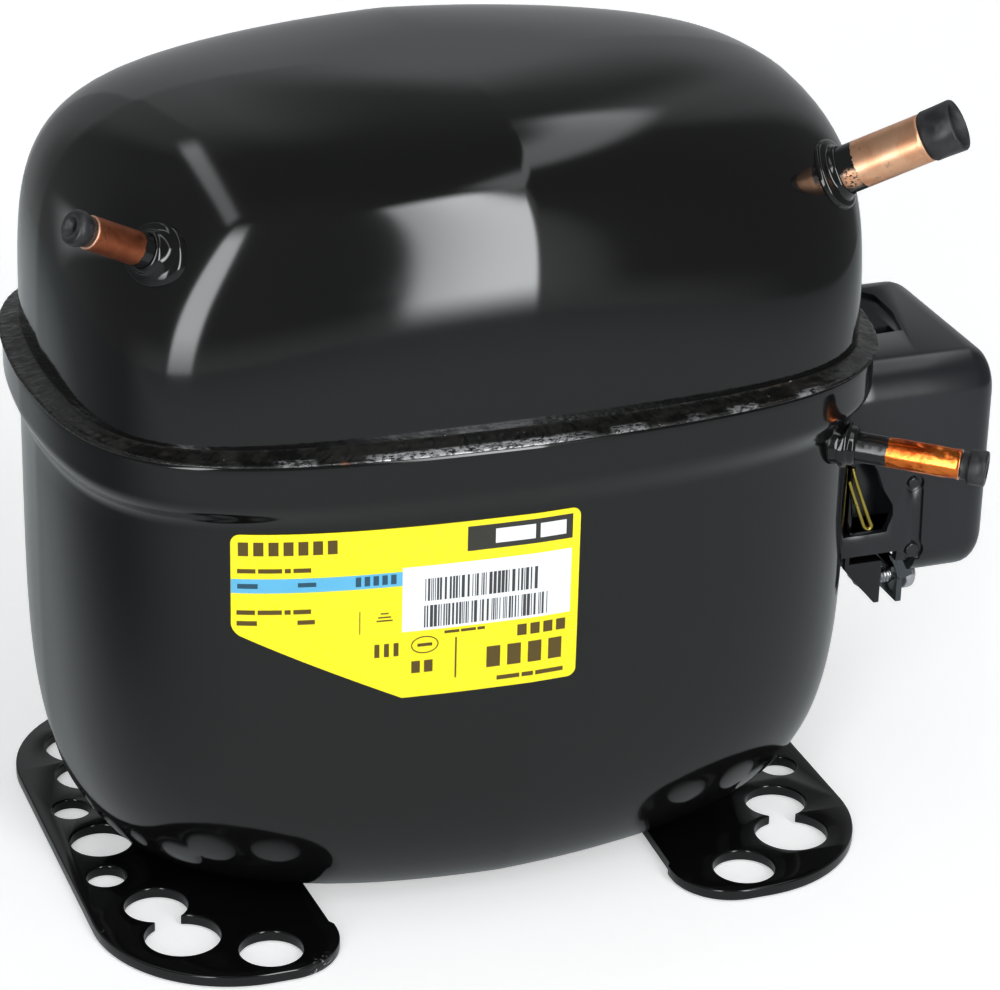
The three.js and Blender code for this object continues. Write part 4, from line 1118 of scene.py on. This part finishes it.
def cover_clip():
    """Spring wire bent into a narrow hairpin."""
    level = -26.8
    bends = [
        (106.3, 91), (108.5, 85.2), (110.6, 79.8), (111.5, 77.7), (110.9, 76.7), (109.6, 77.4),
        (108.6, 79.6), (106.7, 84.6), (104.9, 89.4), (104.2, 91.4),
    ]
    route = np.array([(105.2, -26.4, 94.8)] + [(x, level, z) for x, z in bends])
    ends = np.vstack([2 * route[0] - route[1], route, 2 * route[-1] - route[-2]])
    line = []
    for p0, p1, p2, p3 in zip(ends, ends[1:], ends[2:], ends[3:]):
        for t in np.linspace(0, 1, 12, endpoint=False):
            bend = (2 * p0 - 5 * p1 + 4 * p2 - p3) * t**2 + (3 * p1 - p0 - 3 * p2 + p3) * t**3
            line.append(0.5 * (2 * p1 + (p2 - p0) * t + bend))
    line = np.array(line + [route[-1]])
    ahead = np.gradient(line, axis=0)
    ahead /= np.linalg.norm(ahead, axis=1)[:, None]
    side = np.cross(ahead, (0, 1, 0))
    side /= np.linalg.norm(side, axis=1)[:, None]
    up = np.cross(side, ahead)
    angles = np.arange(20)[:, None] * 2 * pi / 20
    rings = [p + 0.6 * (np.cos(angles) * s + np.sin(angles) * u) for p, s, u in zip(line, side, up)]
    clip = make("cover_clip_wire", *loft(rings), ["yellow_zinc"], sharp=60)
    stand_in(clip, "cover_clip")


terminal_cover()
terminal_bracket()
screw("clamp_screw_threaded", "clamp_screw", 113, 126.2, CLAMP.y, CLAMP.z, CLAMP.shank, 4.4, 3.4)
screw("earth_screw_threaded", "earth_screw", 103.5, 107.9, -17, 112, 1.8, 3.6, 2.6)
cord_clamp()
cover_clip()

# -------- nodes that stay as they are

KEPT = {
    "white_plastic": ("lead_plug", "suction_muffler"),
    "black_plastic": ("start_relay", "overload_protector"),
    "cast_iron": ("stator_core", "cylinder_block", "cylinder_head", "counterweight"),
    "winding": ("winding_top", "winding_bottom"),
    "bronze": ("thrust_washer",),
    "aluminium_alloy": ("connecting_rod",),
    "gasket_sheet": ("cylinder_gasket", "head_gasket"),
    "copper_bright": ("discharge_loop",),
}
FINISH_OF = {node: finish for finish, nodes in KEPT.items() for node in nodes}
for node_name, node_piece in frame["nodes"].items():
    if node_piece.hide_render:
        continue
    mesh = node_piece.data
    mesh.materials.clear()
    mesh.materials.append(MATERIALS[FINISH_OF.get(node_name, "bright_steel")])
    mesh.shade_smooth()
    mesh.set_sharp_from_angle(angle=radians(32))

# -------- studio


def staged(name, points, faces, finish, **shown):
    """A part of the set, with its points in metres."""
    mesh = bpy.data.meshes.new(name)
    mesh.from_pydata([tuple(p) for p in points], [], faces)
    mesh.materials.append(MATERIALS[finish])
    piece = new_object(name, mesh)
    for key, value in shown.items():
        setattr(piece, key, value)


def floor_disc(name, radius, z, finish, **shown):
    rim = [(x, y, z) for x, y in circle(0, 0, radius, 96)]
    staged(name, rim, [tuple(range(96))], finish, **shown)


def studio():
    """Pale floor and white backdrop for the camera, and a table for reflections with painted shade
    darkening its left-back side and its outer ring.
    """
    bright = dict(Emission_Color=(1, 1, 1))
    Paint("floor_seen", (0.86, 0.86, 0.86), 0.9, Emission_Strength=0.42, **bright)
    Paint("backdrop_white", (0, 0, 0), 1.0, Emission_Strength=1.0, **bright)
    table = Paint("floor_table", (0.79, 0.82, 0.83), 0.9)
    x, y, _ = table.split(table.place)
    # painted shade: the table turns darker towards the left-back and further from the compressor,
    # dimming what the shell reflects there
    shade = table.times(table.inverse(table.step(x, -0.34, -0.1)), table.step(y, -0.3, 0.02))
    away = table.vector("LENGTH", table.place)
    far = table.times(table.step(away, 0.38, 0.62), 0.55)
    shade = table.math("MAXIMUM", shade, far)
    table.color(table.mix(shade, (0.79, 0.82, 0.83), (0.2, 0.22, 0.23)))

    only_seen = dict.fromkeys(
        ("visible_diffuse", "visible_glossy", "visible_transmission", "visible_shadow"), False
    )
    floor_disc("floor", 30, 0.0006, "floor_seen", **only_seen)
    floor_disc("floor_reflected", 0.62, 0.0004, "floor_table", visible_camera=False)
    radius, turns = 25, np.arange(48) * pi / 24
    rings = [
        [(radius * sin(a) * cos(b), radius * sin(a) * sin(b), radius * cos(a)) for b in turns]
        for a in np.linspace(0.05, pi - 0.05, 24)
    ]
    staged("backdrop", *loft(rings), "backdrop_white", **only_seen, visible_volume_scatter=False)


studio()


class Room(Paint):
    """The world's colour, written as lights at an azimuth and a height, both in degrees.
    Azimuth 0 is the label side and 90 is the terminal side."""

    def __init__(self):
        self.world = bpy.data.worlds.new("room")
        bpy.context.scene.world = self.world
        self.world.use_nodes = True
        self.tree = self.world.node_tree
        self.background = self.tree.nodes["Background"]
        self.direction = self.add("ShaderNodeTexCoord").outputs["Generated"]
        x, y, z = self.split(self.direction)
        turn = self.math("ARCTAN2", x, self.times(y, -1.0))
        self.azimuth = self.times(turn, 180 / pi)
        self.height = self.times(self.math("ARCSINE", z), 180 / pi)
        self.total = None

    def light(self, strength, *masks):
        level = strength
        for mask in masks:
            level = self.times(mask, level)
        self.total = level if self.total is None else self.math("ADD", self.total, level)

    def along(self, normal):
        return self.vector("DOT_PRODUCT", self.direction, normal)


def room():
    r = Room()
    az, el = r.azimuth, r.height
    r.light(0.15)
    r.light(0.05, r.between(az, -150, 5, 20), r.between(el, -30, 70, 15))
    # two tall softboxes in front, the right one with a grey fringe
    lean = r.math("MULTIPLY_ADD", el, 0.064, az)
    upright = r.between(el, -13, 50, 4)
    tall = r.times(r.step(lean, 8.0, 10.4), r.inverse(r.step(az, 18.6, 21.4)))
    r.light(6.4, tall, upright)
    r.light(6.0, tall, upright, r.step(az, 7, 18))
    r.light(0.5, r.between(az, 20, 26, 2), upright)
    curl = r.times(r.math("POWER", r.math("ABSOLUTE", r.math("SUBTRACT", el, 36.0)), 2.0), 0.0046)
    side = r.math("ABSOLUTE", r.math("ADD", r.math("ADD", az, 34.0), curl))
    breadth = r.math("MULTIPLY_ADD", el, -0.06, 7.0)
    r.light(8.2, r.between(r.math("DIVIDE", side, breadth), -1, 1, 0.16), r.between(el, -15, 50, 9))
    # long overhead lights, right and left
    right = r.along((-0.9007, 0.1875, 0.3921))
    r.light(1.9, r.between(right, -0.07, 0.04, 0.025), r.between(az, 22, 146, 4), r.step(el, 38, 46))
    left = r.along((-0.9307, 0.2248, -0.2886))
    leftward = r.times(az, -1.0)
    r.light(2.2, r.between(left, -0.035, 0.035, 0.015), r.step(el, 46, 54), r.step(leftward, 40, 48))
    # pale wall behind on the right, the lit patch on the left, and the table's far edge
    shade = r.times(r.between(az, 146, 166, 5), r.step(el, 18, 30))
    r.light(0.28, r.step(az, 116, 132), r.between(el, -40, 50, 12), r.inverse(shade))
    r.light(0.16, r.step(leftward, 158, 170), r.between(el, -40, 55, 10))
    patch = r.math("SUBTRACT", el, r.math("MULTIPLY_ADD", az, 0.59, 79.0))
    r.light(0.9, r.between(patch, -5, 5, 3), r.between(az, -148, -95, 6))
    r.light(0.45, r.between(el, -30, -13, 5), r.between(az, -80, 40, 20))
    r.feed(r.background.inputs["Strength"], r.total)
    r.background.inputs["Color"].default_value = (0.96, 0.985, 1.0, 1)
    r.world.cycles.sampling_method = "MANUAL"
    r.world.cycles.sample_map_resolution = 1024


room()


def fill_light():
    """Weak overhead fill that keeps the label and floor bright."""
    lamp = bpy.data.lights.new("overhead_fill", "AREA")
    lamp.shape, lamp.size, lamp.size_y, lamp.energy = "RECTANGLE", 1.6, 1.6, 6
    holder = new_object("overhead_fill", lamp)
    holder.location = (-0.3, -0.9, 1.9)
    holder.rotation_euler = Vector((0.3, 0.9, -1.9)).to_track_quat("-Z", "Y").to_euler()
    holder.visible_glossy = False


fill_light()

camera_data = bpy.data.cameras.new("camera")
camera_data.sensor_width = 36
camera_data.lens = 133.4
camera_data.clip_end = 100
camera = new_object("camera", camera_data)
aim = Matrix.Identity(4)
aim.col[0] = (0.93849156, -0.3445017, 0.02349842, 0)
aim.col[1] = (0.12707482, 0.40785006, 0.90416277, 0)
aim.col[2] = (-0.32106945, -0.84556307, 0.42654133, 0)
aim.col[3] = (*place((-289.5345, -809.3556, 495.7345)), 1)
camera.matrix_world = aim
bpy.context.scene.camera = camera
bpy.context.scene.view_settings.view_transform = "Standard"
